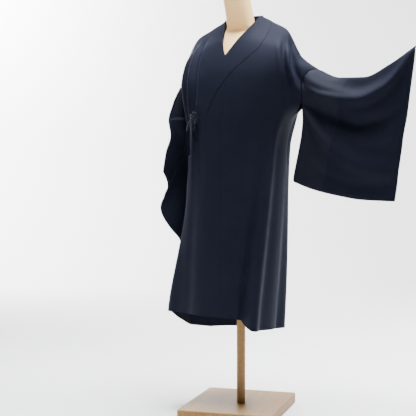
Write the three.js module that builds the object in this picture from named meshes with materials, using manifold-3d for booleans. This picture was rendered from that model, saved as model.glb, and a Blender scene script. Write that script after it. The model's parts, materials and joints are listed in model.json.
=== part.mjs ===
// A V-necked kimono coat on a limbless dress form with a board for a foot.
// Millimetres, +Z up. The front faces -Y and the wearer's left is +X.
// The origin is on the floor, under the form's pole.
//
// Places on the coat's body are given by two numbers:
//   turn  degrees round the body, 0 at the centre front, 90 at the wearer's left side,
//         -90 at the right side and 180 at the centre back
//   fall  0 on the shoulder line and 1 at the hem

import * as THREE from 'three';
import Module from 'manifold-3d';
import { mergeVertices } from 'three/addons/utils/BufferGeometryUtils.js';

const wasm = await Module();
wasm.setup();

// ---------------------------------------------------------------- driving sizes

const CLOTH = 1.6; // thickness of one layer of the silk
const COLLAR_THICK = 3.6; // the collar is folded double
const SEAM = 0.3; // gap between two pieces where they are sewn
const ARMHOLE_SEAM = { left: 3, right: 7.4 }; // the same, where a sleeve leaves the body at an angle
const LAP = 5; // distance between the two fronts where they lie on each other
const EDGE_LIFT = 4; // how far the front's free edge stands off
const COLLAR_END = 0.38; // fall of the collar's lower ends
const LAP_STEP = 0.387; // fall where the front edge is full width below the collar
const TIP_FALL = 0.2; // fall of the upper point of the overlap panels
const HEM_LEVEL = 351; // height of the hem at the centre front
const ROUNDNESS = 0.87; // power of the body's rings, 1 for an ellipse
const UNDERARM = { left: 0.27, right: 0.34 }; // fall of the lower end of each armhole seam

const INNER_SHARE = 0.3; // share of a sleeve's width that is its narrow inner panel

const BOARD = { width: 328, depth: 392, height: 35, turn: 18.5, x: -24, y: 40 };
const POLE = { radius: 15, x: 0, y: 20 };

// ------------------------------------------------------------------ small maths

const rad = Math.PI / 180;
const lerp = (a, b, t) => a + (b - a) * t;
const clamp = (t) => Math.min(1, Math.max(0, t));
const smooth = (t) => clamp(t) ** 2 * (3 - 2 * clamp(t));
const signedPower = (x, p) => Math.sign(x) * Math.abs(x) ** p;
const vector = (x, y, z) => new THREE.Vector3(x, y, z);

// Reads one column of a table at a key between its rows, along a smooth monotone curve.
function read(table, column, key) {
  const keys = table.map((row) => row.at);
  const last = table.length - 1;
  if (key <= keys[0]) return table[0][column];
  if (key >= keys[last]) return table[last][column];
  const i = keys.findLastIndex((k) => k <= key);
  const step = (j) => (table[j + 1][column] - table[j][column]) / (keys[j + 1] - keys[j]);
  const slope = (j) => {
    if (j === 0) return step(0);
    if (j === last) return step(last - 1);
    const [before, after] = [step(j - 1), step(j)];
    return before * after > 0 ? (2 * before * after) / (before + after) : 0;
  };
  const width = keys[i + 1] - keys[i];
  const t = (key - keys[i]) / width;
  const rise = table[i + 1][column] - table[i][column];
  const [m0, m1] = [slope(i) * width, slope(i + 1) * width];
  return table[i][column] + t * (m0 + t * (3 * rise - 2 * m0 - m1 + t * (m0 + m1 - 2 * rise)));
}

// ------------------------------------------------------- the shape of the body

// The shoulder line on each side, from the neck out and down to the armhole seam.
const SHOULDER = {
  left: [
    { at: 0.0, x: 0, y: 36, z: 1380 },
    { at: 0.15, x: 70, y: 30, z: 1368 },
    { at: 0.3, x: 130, y: 24, z: 1341 },
    { at: 0.45, x: 186, y: 20, z: 1309 },
    { at: 0.6, x: 213, y: 20, z: 1262 },
    { at: 0.75, x: 236, y: 22, z: 1221 },
    { at: 0.88, x: 268, y: 26, z: 1193 },
    { at: 1.0, x: 300, y: 30, z: 1172 },
  ],
  right: [
    { at: 0.0, x: 0, y: 36, z: 1380 },
    { at: 0.15, x: 72, y: 28, z: 1360 },
    { at: 0.3, x: 130, y: 22, z: 1335 },
    { at: 0.45, x: 180, y: 16, z: 1309 },
    { at: 0.62, x: 207, y: 5, z: 1258 },
    { at: 0.82, x: 224, y: -8, z: 1192 },
    { at: 1.0, x: 235, y: -16, z: 1142 },
  ],
};

// Rings of the body. A ring near the shoulder keeps a share of the shoulder line's shape,
// and bow is the power that its back is rounded with.
const RINGS = [
  { at: 0.0, share: 1.0, level: 1150, left: 300, right: 235, front: 0, back: 0, bow: 1.9 },
  { at: 0.035, share: 0.8, level: 1140, left: 282, right: 233, front: 40, back: 47, bow: 1.8 },
  { at: 0.08, share: 0.62, level: 1125, left: 264, right: 230, front: 80, back: 86, bow: 1.5 },
  { at: 0.14, share: 0.42, level: 1105, left: 248, right: 226, front: 108, back: 114, bow: 1.25 },
  { at: 0.2, share: 0.27, level: 1083, left: 224, right: 219, front: 124, back: 131, bow: 1.0 },
  { at: 0.27, share: 0.13, level: 1050, left: 205, right: 210, front: 132, back: 140, bow: ROUNDNESS },
  { at: 0.34, share: 0.04, level: 1008, left: 187, right: 200, front: 135, back: 139, bow: ROUNDNESS },
  { at: 0.42, share: 0.0, level: 935, left: 170, right: 196, front: 134, back: 131, bow: ROUNDNESS },
  { at: 0.6, share: 0.0, level: 755, left: 165, right: 198, front: 136, back: 128, bow: ROUNDNESS },
  { at: 0.8, share: 0.0, level: 552, left: 155, right: 208, front: 144, back: 129, bow: ROUNDNESS },
  { at: 1.0, share: 0.0, level: HEM_LEVEL, left: 139, right: 218, front: 154, back: 130, bow: ROUNDNESS },
];
const RING_CENTRE_Y = 15;

// Height of the hem round the body: the back hangs lower than the front.
const HEM = [
  { at: -180, z: 282 },
  { at: -130, z: 280 },
  { at: -100, z: 286 },
  { at: -80, z: 315 },
  { at: -66, z: 350 },
  { at: 0, z: 351 },
  { at: 34, z: 345 },
  { at: 48, z: 312 },
  { at: 90, z: 305 },
  { at: 120, z: 300 },
  { at: 150, z: 288 },
  { at: 180, z: 282 },
];

// Folds that run down the cloth: turn at the top and at the hem, the fall where the fold
// starts, its half-width in degrees and how far it stands out (or in) at the hem.
const FOLDS = [
  { name: 'side valley', top: 86, hem: 38, from: 0.12, wide: 7, out: -20 },
  { name: 'side crest', top: 92, hem: 49.5, from: 0.12, wide: 9, out: 40 },
  { name: 'left back valley', top: 100, hem: 104, from: 0.35, wide: 12, out: -14 },
  { name: 'left back crest', top: 130, hem: 128, from: 0.25, wide: 12, out: 13 },
  { name: 'back valley', top: 155, hem: 160, from: 0.3, wide: 11, out: -11 },
  { name: 'right back crest', top: -158, hem: -152, from: 0.3, wide: 11, out: 14 },
  { name: 'right back valley', top: -120, hem: -124, from: 0.3, wide: 10, out: -14 },
  { name: 'right side crest', top: -92, hem: -96, from: 0.3, wide: 12, out: 12 },
  { name: 'front corner flare', top: -50, hem: -66, from: 0.6, wide: 13, out: 44 },
  { name: 'soft fold from the tie', top: -22, hem: -34, from: 0.34, wide: 8, out: -6 },
];

// The sleeves pull the cloth out where they hang: the fall and the half-width in degrees
// of that place, and how far it is drawn out.
const UNDERARM_PULL = { left: { fall: 0.27, wide: 16, out: 33 }, right: { fall: 0.33, wide: 17, out: 4 } };

const sideOf = (turn) => (turn >= 0 ? 'left' : 'right');

const wrapTurn = (turn) => ((((turn + 180) % 360) + 360) % 360) - 180;

function bodyBase(anyTurn, fall) {
  const turn = wrapTurn(anyTurn);
  const side = sideOf(turn);
  const sign = turn >= 0 ? 1 : -1;
  const inFront = Math.abs(turn) <= 90;
  const across = inFront ? Math.abs(turn) : 180 - Math.abs(turn);
  const shoulder = (column) => read(SHOULDER[side], column, across / 90);
  const ring = (column) => read(RINGS, column, fall);
  const share = ring('share');
  const x = ring(side) * signedPower(Math.sin(across * rad), ROUNDNESS);
  const bow = inFront ? ROUNDNESS : ring('bow');
  const depth = ring(inFront ? 'front' : 'back') * signedPower(Math.cos(across * rad), bow);
  const y = lerp(RING_CENTRE_Y, shoulder('y'), share) + (inFront ? -depth : depth);
  const z = lerp(ring('level'), shoulder('z'), share) - (HEM_LEVEL - read(HEM, 'z', turn)) * fall ** 2;
  return vector(sign * lerp(x, shoulder('x'), share), y, z);
}

const foldLine = (fold, fall) => lerp(fold.hem, fold.top, Math.max(0, 1 - fall) ** 1.6);

function foldHeight(turn, fall) {
  let height = 0;
  for (const [side, pull] of Object.entries(UNDERARM_PULL)) {
    const away = wrapTurn(turn - (side === 'left' ? 90 : -90)) / pull.wide;
    const below = (fall - pull.fall) / (fall > pull.fall ? 0.05 : 0.12);
    height += pull.out * Math.exp(-(away ** 2) - below ** 2);
  }
  for (const fold of FOLDS) {
    const share = clamp((fall - fold.from) / (1 - fold.from));
    const grown = lerp(share, smooth(share), 0.55);
    const away = wrapTurn(turn - foldLine(fold, fall));
    height += fold.out * grown * Math.exp(-((away / fold.wide) ** 2));
  }
  return height;
}

// Level outward direction of the body at a place.
function outward(turn, fall) {
  const step = 0.4;
  const along = bodyBase(turn + step, fall).sub(bodyBase(turn - step, fall));
  return vector(along.y, -along.x, 0).normalize();
}

// A point of the coat's body, moved out by lift and by the folds.
function bodyPoint(turn, fall, lift = 0) {
  const out = outward(turn, fall).multiplyScalar(foldHeight(turn, fall));
  const point = bodyBase(turn, fall).add(out);
  return lift === 0 ? point : point.addScaledVector(bodyNormal(turn, fall), lift);
}

function bodyNormal(turn, fall) {
  const turnStep = 0.5;
  const fallStep = 0.004;
  const mirrored = Math.sign(turn || 1) * 180 - turn;
  const above = fall > fallStep ? bodyPoint(turn, fall - fallStep) : bodyPoint(mirrored, fallStep);
  const below = bodyPoint(turn, fall + fallStep);
  const right = bodyPoint(turn - turnStep, fall);
  const left = bodyPoint(turn + turnStep, fall);
  return below.sub(above).cross(left.sub(right)).normalize();
}

// ------------------------------------------------------------------ walls

// A closed wall on a grid of places, each with its point and outward normal.
// A round wall joins its last column to its first.
function wall(grid, thick, round = false) {
  const rows = grid.length;
  const columns = grid[0].length;
  const positions = [];
  for (const side of [0.5, -0.5]) {
    for (const row of grid) {
      for (const { point, normal } of row) {
        positions.push(...point.clone().addScaledVector(normal, side * thick).toArray());
      }
    }
  }
  const index = [];
  const at = (i, j, inner) => inner * rows * columns + i * columns + (j % columns);
  const quad = (a, b, c, d) => index.push(a, b, c, a, c, d);
  const last = round ? columns : columns - 1;
  for (let i = 0; i < rows - 1; i++) {
    for (let j = 0; j < last; j++) {
      quad(at(i, j, 0), at(i + 1, j, 0), at(i + 1, j + 1, 0), at(i, j + 1, 0));
      quad(at(i, j, 1), at(i, j + 1, 1), at(i + 1, j + 1, 1), at(i + 1, j, 1));
    }
  }
  for (let j = 0; j < last; j++) {
    quad(at(0, j, 0), at(0, j + 1, 0), at(0, j + 1, 1), at(0, j, 1));
    quad(at(rows - 1, j, 0), at(rows - 1, j, 1), at(rows - 1, j + 1, 1), at(rows - 1, j + 1, 0));
  }
  if (!round) {
    for (let i = 0; i < rows - 1; i++) {
      quad(at(i, 0, 0), at(i, 0, 1), at(i + 1, 0, 1), at(i + 1, 0, 0));
      quad(at(i, last, 0), at(i + 1, last, 0), at(i + 1, last, 1), at(i, last, 1));
    }
  }
  return outwardGeometry(positions, index);
}

// Builds a geometry and turns its faces outward if its volume comes out negative.
function outwardGeometry(positions, index) {
  let volume = 0;
  const corner = (i) => vector(...positions.slice(3 * i, 3 * i + 3));
  for (let i = 0; i < index.length; i += 3) {
    const [a, b, c] = [corner(index[i]), corner(index[i + 1]), corner(index[i + 2])];
    volume += a.dot(b.cross(c));
  }
  if (volume < 0) index.reverse();
  const geometry = new THREE.BufferGeometry();
  geometry.setAttribute('position', new THREE.Float32BufferAttribute(positions, 3));
  geometry.setIndex(index);
  return geometry;
}

// Gives each point of a grid its normal, from its neighbours.
function withNormals(points, round) {
  const rows = points.length;
  const columns = points[0].length;
  const pick = (i, j) => points[Math.min(rows - 1, Math.max(0, i))][
    round ? (j + columns) % columns : Math.min(columns - 1, Math.max(0, j))];
  return points.map((row, i) => row.map((point, j) => {
    const down = pick(i + 1, j).clone().sub(pick(i - 1, j));
    const along = pick(i, j + 1).clone().sub(pick(i, j - 1));
    return { point, normal: down.cross(along).normalize() };
  }));
}

// ------------------------------------------------------------- cutting lines

// Turns of the lines that the pieces are cut along, for the wearer's left pieces.
// The right pieces take them with the sign changed, and lie under the left ones.
const COLLAR_LINES = [
  { at: 0.0, seam: 25, edge: 13.5 },
  { at: 0.035, seam: 26.5, edge: 9.5 },
  { at: 0.08, seam: 26, edge: 5.5 },
  { at: 0.14, seam: 17.5, edge: -1 },
  { at: 0.2, seam: 6.3, edge: -10 },
  { at: 0.27, seam: -3.6, edge: -20.4 },
  { at: 0.34, seam: -11.7, edge: -30.5 },
  { at: COLLAR_END, seam: -14, edge: -34 },
];
const OVERLAP_SEAM = [
  { at: TIP_FALL, turn: 7.6 },
  { at: 0.27, turn: 3 },
  { at: 0.42, turn: 1.5 },
  { at: 1.0, turn: 6.5 },
];
const FRONT_EDGE = [
  { at: LAP_STEP, over: -34.6, under: -30 },
  { at: 0.42, over: -38.5, under: -30 },
  { at: 0.52, over: -47, under: -29 },
  { at: 0.64, over: -53, under: -27 },
  { at: 0.76, over: -58, under: -25 },
  { at: 0.88, over: -62, under: -23 },
  { at: 1.0, over: -66, under: -21 },
];

// Half the angle that the armhole and the underarm opening stand open.
const OPENING = {
  left: [
    { at: 0.0, half: 0 },
    { at: 0.035, half: 5 },
    { at: 0.08, half: 9 },
    { at: 0.14, half: 10.5 },
    { at: 0.27, half: 3.5 },
    { at: 0.33, half: 0.02 },
    { at: 1.0, half: 0.02 },
  ],
  right: [
    { at: 0.0, half: 0 },
    { at: 0.035, half: 1.5 },
    { at: 0.08, half: 6 },
    { at: 0.14, half: 10.5 },
    { at: 0.34, half: 10 },
    { at: 0.42, half: 6 },
    { at: 0.48, half: 0.02 },
    { at: 1.0, half: 0.02 },
  ],
};

const NECK_RISE = 2.6; // the collar's lower edge stands this far above the neckline
const BACK_NECK_FALL = 0.034; // how far the neckline dips at the centre back
const SEAM_TURN = 0.055; // half a seam, in degrees, on the front
const CENTRE_TURN = 0.018; // the same at the centre back, where a degree is wider

// Falls of the rows of the grids. Pieces that meet along a seam share them.
const UPPER_FALLS = [0, 0.0175, 0.035, 0.0575, 0.08, 0.11, 0.14, 0.17];
const LOWER_FALLS = [0.2, 0.235, 0.27, 0.305, 0.34, COLLAR_END, LAP_STEP, 0.42, 0.5, 0.6, 0.7, 0.8, 0.9, 1.0];
const NECK_FALLS = [0.012, 0.023, 0.031, BACK_NECK_FALL];

const frontFalls = [...UPPER_FALLS, ...LOWER_FALLS];
const backFalls = [...NECK_FALLS, ...UPPER_FALLS.slice(3), ...LOWER_FALLS];

// Inner limit of a front body panel, as a left-hand turn.
function frontInner(fall) {
  if (fall < TIP_FALL) return read(COLLAR_LINES, 'seam', fall) + SEAM_TURN;
  return Math.max(read(OVERLAP_SEAM, 'turn', fall), read(COLLAR_LINES, 'seam', fall) + 1.2) + SEAM_TURN;
}

// Inner limit of the back panel, in degrees from the centre back.
function backInner(fall) {
  if (fall >= BACK_NECK_FALL) return CENTRE_TURN;
  return read(COLLAR_LINES, 'seam', 0) * Math.sqrt(1 - (fall / BACK_NECK_FALL) ** 2) + CENTRE_TURN;
}

// How far a front stands out of the nominal surface: the left front's free edge stands
// out a little, and the right front lies behind.
function lapLift(side, turn, fall) {
  if (side === 'left') return EDGE_LIFT * smooth((-20 - turn) / 30);
  const towardLeft = smooth((turn + 86) / 40);
  return -LAP * towardLeft * smooth(fall / 0.06 + 0.15);
}

const place = (turn, fall, lift) => ({ point: bodyPoint(turn, fall, lift), normal: bodyNormal(turn, fall) });

// -------------------------------------------------------------- the cut pieces

const CROSSWISE = { front: 4, fold: 4, side: 5 }; // columns of a body panel

// One length of cloth from the front hem over the shoulder to the back hem.
function bodyPanel(side) {
  const sign = side === 'left' ? 1 : -1;
  const columns = CROSSWISE.front + CROSSWISE.fold + CROSSWISE.side;
  const [valley, crest] = FOLDS;
  const frontTurn = (fall, j) => {
    const [inner, outer] = [frontInner(fall), 90 - read(OPENING[side], 'half', fall)];
    if (side === 'right') return lerp(inner, outer, j / columns);
    const shown = smooth((fall - 0.1) / 0.25);
    const even = lerp(inner, outer, j / columns);
    const lines = [inner, Math.min(foldLine(valley, fall), 74), Math.min(foldLine(crest, fall), 82), outer];
    const counts = [CROSSWISE.front, CROSSWISE.fold, CROSSWISE.side];
    let rest = j;
    let k = 0;
    while (k < 2 && rest > counts[k]) rest -= counts[k++];
    return lerp(even, lerp(lines[k], lines[k + 1], rest / counts[k]), shown);
  };
  const backTurn = (fall, j) => 180 - lerp(backInner(fall), 90 - read(OPENING[side], 'half', fall), j / columns);
  const grid = [];
  for (const fall of frontFalls.toReversed()) {
    grid.push(Array.from({ length: columns + 1 }, (_, j) => {
      const turn = sign * frontTurn(fall, j);
      return place(turn, fall, lapLift(side, turn, fall));
    }));
  }
  for (const fall of backFalls) {
    grid.push(Array.from({ length: columns + 1 }, (_, j) => place(sign * backTurn(fall, j), fall, 0)));
  }
  return wall(grid, CLOTH);
}

// The long wedge that widens a front, from its point at the collar down to the hem.
function overlapPanel(side) {
  const sign = side === 'left' ? 1 : -1;
  const edge = side === 'left' ? 'over' : 'under';
  const columns = side === 'left' ? 8 : 5;
  const grid = LOWER_FALLS.map((fall) => {
    const inner = frontInner(fall) - 2 * SEAM_TURN;
    const outer = fall <= COLLAR_END
      ? read(COLLAR_LINES, 'seam', fall) + SEAM_TURN : read(FRONT_EDGE, edge, fall);
    return Array.from({ length: columns + 1 }, (_, j) => {
      const turn = sign * lerp(inner, outer, j / columns);
      return place(turn, fall, lapLift(side, turn, fall));
    });
  });
  return wall(grid, CLOTH);
}

// The collar's free edge behind the neck, as degrees from the centre back.
function neckEdge(sign, across) {
  const [wide, deep, low, high] = [70, 62, 1368, 1384];
  const share = Math.cos(across * rad);
  return vector(sign * wide * Math.sin(across * rad), 30 + deep * share, lerp(low, high, share));
}

// One band that runs from the left front up round the back of the neck to the right front.
function collar() {
  const COLUMNS = 4;
  const stations = [];
  for (const side of ['left', 'right']) {
    const sign = side === 'left' ? 1 : -1;
    const half = [];
    const falls = frontFalls.filter((fall) => fall <= COLLAR_END);
    for (const fall of falls.toReversed()) {
      const low = fall === COLLAR_END ? fall - 0.0012 : fall;
      const seam = read(COLLAR_LINES, 'seam', fall) - SEAM_TURN;
      const edge = read(COLLAR_LINES, 'edge', fall);
      half.push(Array.from({ length: COLUMNS + 1 }, (_, j) => {
        const turn = sign * lerp(seam, edge, j / COLUMNS);
        return bodyPoint(turn, low, lapLift(side, turn, low));
      }));
    }
    for (const fall of NECK_FALLS) {
      const across = backInner(fall) - 2 * CENTRE_TURN;
      const root = bodyPoint(sign * (180 - Math.max(across, 0.5)), fall).add(vector(0, 0, NECK_RISE));
      const tip = neckEdge(sign, 90 * Math.sqrt(1 - (fall / BACK_NECK_FALL) ** 2));
      half.push(Array.from({ length: COLUMNS + 1 }, (_, j) => {
        const share = j / COLUMNS;
        const point = root.clone().lerp(tip, share);
        return point.add(vector(0, 5 * Math.sin(Math.PI * share), 0));
      }));
    }
    stations.push(half);
  }
  const [left, right] = stations;
  const grid = [...left, ...right.slice(0, -1).toReversed()];
  return wall(withNormals(grid, false), COLLAR_THICK);
}

// ------------------------------------------------------------------ the sleeves

// Each sleeve hangs on a few lines that run from the armhole (at 0) to the cuff (at 1).
// A line lies at a drop between the top fold (0) and the bottom fold (1).
const SLEEVE_NET = {
  left: [
    {
      drop: 0,
      line: [
        { at: 0.0, x: 300, y: 30, z: 1172 },
        { at: 0.2, x: 370, y: 42, z: 1143 },
        { at: 0.45, x: 450, y: 56, z: 1141 },
        { at: 0.7, x: 530, y: 68, z: 1176 },
        { at: 1.0, x: 617, y: 80, z: 1232 },
      ],
    },
    {
      drop: 1,
      line: [
        { at: 0.0, x: 200, y: 30, z: 806 },
        { at: 0.2, x: 262, y: 44, z: 781 },
        { at: 0.45, x: 349, y: 62, z: 759 },
        { at: 0.7, x: 436, y: 80, z: 745 },
        { at: 1.0, x: 538, y: 100, z: 741 },
      ],
    },
  ],
  right: [
    {
      drop: 0,
      line: [
        { at: 0.0, x: -235, y: -16, z: 1142 },
        { at: 0.15, x: -260, y: -28, z: 1082 },
        { at: 0.3, x: -274, y: -35, z: 1028 },
        { at: 0.5, x: -261, y: -40, z: 968 },
        { at: 0.75, x: -274, y: -50, z: 911 },
        { at: 1.0, x: -284, y: -55, z: 843 },
      ],
    },
    {
      drop: 0.13,
      line: [
        { at: 0.0, x: -230, y: 2, z: 1096 },
        { at: 0.3, x: -226, y: 0, z: 1022 },
        { at: 0.5, x: -246, y: 10, z: 950 },
        { at: 0.75, x: -260, y: 0, z: 880 },
        { at: 1.0, x: -288, y: -20, z: 790 },
      ],
    },
    {
      drop: 0.3,
      line: [
        { at: 0.0, x: -203, y: 14, z: 1008 },
        { at: 0.3, x: -226, y: 40, z: 950 },
        { at: 0.65, x: -258, y: 10, z: 830 },
        { at: 1.0, x: -306, y: -40, z: 711 },
      ],
    },
    {
      drop: 0.55,
      line: [
        { at: 0.0, x: -242, y: 88, z: 905 },
        { at: 0.3, x: -240, y: 75, z: 835 },
        { at: 0.65, x: -256, y: 35, z: 715 },
        { at: 1.0, x: -258, y: 4, z: 598 },
      ],
    },
    {
      drop: 1,
      line: [
        { at: 0.0, x: -238, y: 250, z: 792 },
        { at: 0.3, x: -244, y: 248, z: 692 },
        { at: 0.65, x: -250, y: 224, z: 586 },
        { at: 1.0, x: -252, y: 190, z: 490 },
      ],
    },
  ],
};
const SLEEVE_GAP = {
  left: [{ at: 0, gap: 44 }, { at: 0.3, gap: 34 }, { at: 0.7, gap: 24 }, { at: 1, gap: 16 }],
  right: [{ at: 0, gap: 34 }, { at: 0.3, gap: 24 }, { at: 0.7, gap: 20 }, { at: 1, gap: 14 }],
};

// Swags and folds of the sleeves, which both layers share. Each has its half-width as a
// drop, and a line of its drop and of how far it stands out, read at a share of the width.
const SWAGS = {
  left: [
    {
      name: 'first swag',
      wide: 0.06,
      line: [
        { at: 0, drop: 0.1, out: 0 }, { at: 0.1, drop: 0.165, out: 16 }, { at: 0.3, drop: 0.19, out: 26 },
        { at: 0.5, drop: 0.185, out: 28 }, { at: 0.7, drop: 0.175, out: 22 }, { at: 0.9, drop: 0.09, out: 10 },
        { at: 1, drop: 0.02, out: 4 },
      ],
    },
    {
      name: 'first hollow',
      wide: 0.075,
      line: [
        { at: 0, drop: 0.2, out: 0 }, { at: 0.1, drop: 0.27, out: -12 }, { at: 0.25, drop: 0.32, out: -20 },
        { at: 0.5, drop: 0.4, out: -24 }, { at: 0.8, drop: 0.42, out: -13 }, { at: 1, drop: 0.4, out: -3 },
      ],
    },
    {
      name: 'second swag',
      wide: 0.08,
      line: [
        { at: 0, drop: 0.3, out: 0 }, { at: 0.1, drop: 0.4, out: 14 }, { at: 0.2, drop: 0.53, out: 17 },
        { at: 0.4, drop: 0.65, out: 18 }, { at: 0.6, drop: 0.73, out: 15 }, { at: 0.9, drop: 0.79, out: 8 },
        { at: 1, drop: 0.8, out: 3 },
      ],
    },
    {
      name: 'lower hollow',
      wide: 0.06,
      line: [
        { at: 0, drop: 0.8, out: 0 }, { at: 0.3, drop: 0.85, out: -7 }, { at: 0.7, drop: 0.9, out: -8 },
        { at: 1, drop: 0.9, out: -3 },
      ],
    },
  ],
  right: [
    {
      name: 'upper fold',
      wide: 0.05,
      line: [
        { at: 0, drop: 0.08, out: 0 }, { at: 0.3, drop: 0.08, out: 5 }, { at: 0.7, drop: 0.07, out: 6 },
        { at: 1, drop: 0.06, out: 2 },
      ],
    },
    {
      name: 'middle hollow',
      wide: 0.07,
      line: [{ at: 0, drop: 0.3, out: 0 }, { at: 0.4, drop: 0.36, out: -9 }, { at: 1, drop: 0.32, out: -4 }],
    },
    {
      name: 'middle fold',
      wide: 0.09,
      line: [{ at: 0, drop: 0.55, out: 0 }, { at: 0.4, drop: 0.54, out: 15 }, { at: 1, drop: 0.52, out: 6 }],
    },
    {
      name: 'lower hollow',
      wide: 0.08,
      line: [{ at: 0, drop: 0.74, out: 0 }, { at: 0.5, drop: 0.76, out: -11 }, { at: 1, drop: 0.74, out: -4 }],
    },
  ],
};

const SLEEVE_SHARES = [0, 0.08, 0.18, INNER_SHARE, 0.42, 0.54, 0.66, 0.78, 0.89, 1];
const SEAM_ROW = SLEEVE_SHARES.indexOf(INNER_SHARE);
const FREE_DROPS = 8; // rows below the armhole seam, down to the bottom fold
const FADE = { left: 3.6, right: 1.5 }; // how soon the pull of the armhole's end fades down a sleeve

// Places of a sleeve's ring: down the front layer and up the back one. The first ones
// are the rows of the armhole, so that the sleeve meets the body point for point.
function ringPlaces(side) {
  const armhole = frontFalls.filter((fall) => fall <= UNDERARM[side]);
  const bottom = side === 'left' ? 0.27 : 0.3; // drop of the armhole seam's end
  const drops = [
    ...armhole.map((fall) => ({ fall, drop: (bottom * fall) / UNDERARM[side] })),
    ...Array.from({ length: FREE_DROPS }, (_, k) => ({ drop: lerp(bottom, 1, (k + 1) / FREE_DROPS) })),
  ];
  const front = drops.map((place) => ({ ...place, layer: 1 }));
  const back = drops.slice(1, -1).toReversed().map((place) => ({ ...place, layer: -1 }));
  return [...front, ...back];
}

// A place midway between the two layers of a sleeve.
function sleeveMiddle(side, share, drop) {
  const across = SLEEVE_NET[side].map(({ drop: at, line }) => ({
    at, x: read(line, 'x', share), y: read(line, 'y', share), z: read(line, 'z', share),
  }));
  return vector(read(across, 'x', drop), read(across, 'y', drop), read(across, 'z', drop));
}

// The way from the middle of a sleeve to its front layer.
function sleeveFace(side, share, drop) {
  const [p, q] = [Math.min(share, 0.94), Math.min(Math.max(drop, 0.06), 0.94)];
  const along = sleeveMiddle(side, p + 0.05, q).sub(sleeveMiddle(side, p - 0.05, q));
  const down = sleeveMiddle(side, p, q + 0.05).sub(sleeveMiddle(side, p, q - 0.05));
  return along.cross(down).multiplyScalar(side === 'left' ? -1 : 1).normalize();
}

// The sleeve as it hangs free of the body. The gap between its layers closes round both
// folds, and along the lower part of the cuff, which is sewn shut.
function sleevePoint(side, share, drop, layer) {
  const sewn = 1 - smooth((share - 0.86) / 0.12) * smooth((drop - 0.46) / 0.08);
  const round = Math.sqrt(Math.max(0, 1 - (2 * drop - 1) ** 4));
  let out = layer * (read(SLEEVE_GAP[side], 'gap', share) / 2) * round * lerp(0.14, 1, sewn);
  for (const { wide, line } of SWAGS[side]) {
    const bell = Math.exp(-(((drop - read(line, 'drop', share)) / wide) ** 2));
    out += read(line, 'out', share) * bell * Math.min(1, 6 * round ** 2);
  }
  return sleeveMiddle(side, share, drop).addScaledVector(sleeveFace(side, share, drop), out);
}

function sleeveRings(side) {
  const sign = side === 'left' ? 1 : -1;
  const places = ringPlaces(side);
  const half = (fall) => read(OPENING[side], 'half', fall);
  const edge = ({ fall, layer }) => {
    const turn = layer > 0 ? 90 - half(fall) : 90 + half(fall);
    return bodyPoint(sign * turn, fall, lapLift(side, sign * turn, fall));
  };
  const ends = { 1: edge({ fall: UNDERARM[side], layer: 1 }), '-1': edge({ fall: UNDERARM[side], layer: -1 }) };
  const start = places.find((p) => p.fall === UNDERARM[side]).drop;
  const rings = SLEEVE_SHARES.map((share) => places.map((spot) => {
    const free = sleevePoint(side, share, spot.drop, spot.layer);
    const held = 1 - smooth((share - 0.08) / 0.34);
    if (spot.fall !== undefined) {
      return free.add(edge(spot).sub(sleevePoint(side, 0, spot.drop, spot.layer)).multiplyScalar(held));
    }
    const fade = (1 - (spot.drop - start) / (1 - start)) ** FADE[side];
    const pull = ends[spot.layer].clone().sub(sleevePoint(side, 0, start, spot.layer));
    return free.add(pull.multiplyScalar(held * fade));
  }));
  // The first ring stands clear of the armhole by the seam.
  rings[0].forEach((point, j) => {
    point.addScaledVector(rings[1][j].clone().sub(point).normalize(), ARMHOLE_SEAM[side]);
  });
  return rings;
}

// Both panels of a sleeve, parted by the seam between them.
function sleevePanels(side) {
  const grid = withNormals(sleeveRings(side), true);
  const shift = (row, other) => row.map(({ point, normal }, j) => {
    const away = point.clone().sub(other[j].point).normalize();
    return { point: point.clone().addScaledVector(away, -SEAM / 2), normal };
  });
  const inner = [...grid.slice(0, SEAM_ROW), shift(grid[SEAM_ROW], grid[SEAM_ROW - 1])];
  const outer = [shift(grid[SEAM_ROW], grid[SEAM_ROW + 1]), ...grid.slice(SEAM_ROW + 1)];
  return { inner: wall(inner, CLOTH, true), outer: wall(outer, CLOTH, true) };
}

// ------------------------------------------------------------ the tie at the side

const TIE = { turn: -27, fall: 0.341, lift: 8.5 };
const PETALS = { count: 8, reach: 14.5, radius: 7.4, cord: 1.9 }; // loops of the flower knot
const TASSELS = [
  { name: 'tassel_long', shift: -21, out: 9, drop: 22, head: 16, length: 104, strands: 16, spread: 4.6 },
  { name: 'tassel_short', shift: 11, out: 3, drop: 24, head: 13, length: 52, strands: 14, spread: 4.2 },
];

function solidOf(geometry) {
  geometry.deleteAttribute('normal');
  geometry.deleteAttribute('uv');
  const merged = mergeVertices(geometry, 1e-4);
  return new wasm.Manifold(new wasm.Mesh({
    numProp: 3,
    vertProperties: new Float32Array(merged.attributes.position.array),
    triVerts: new Uint32Array(merged.index.array),
  }));
}

function geometryOf(solid) {
  const mesh = solid.getMesh();
  const geometry = new THREE.BufferGeometry();
  geometry.setAttribute('position', new THREE.Float32BufferAttribute(mesh.vertProperties, 3));
  geometry.setIndex([...mesh.triVerts]);
  return geometry;
}

// Directions at the tie: along the cloth toward the wearer's left, up, and out.
function tieFrame() {
  const out = bodyNormal(TIE.turn, TIE.fall).setZ(0).normalize();
  const along = vector(-out.y, out.x, 0);
  const centre = bodyPoint(TIE.turn, TIE.fall, TIE.lift);
  return new THREE.Matrix4().makeBasis(along, vector(0, 0, 1), out).setPosition(centre);
}

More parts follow.
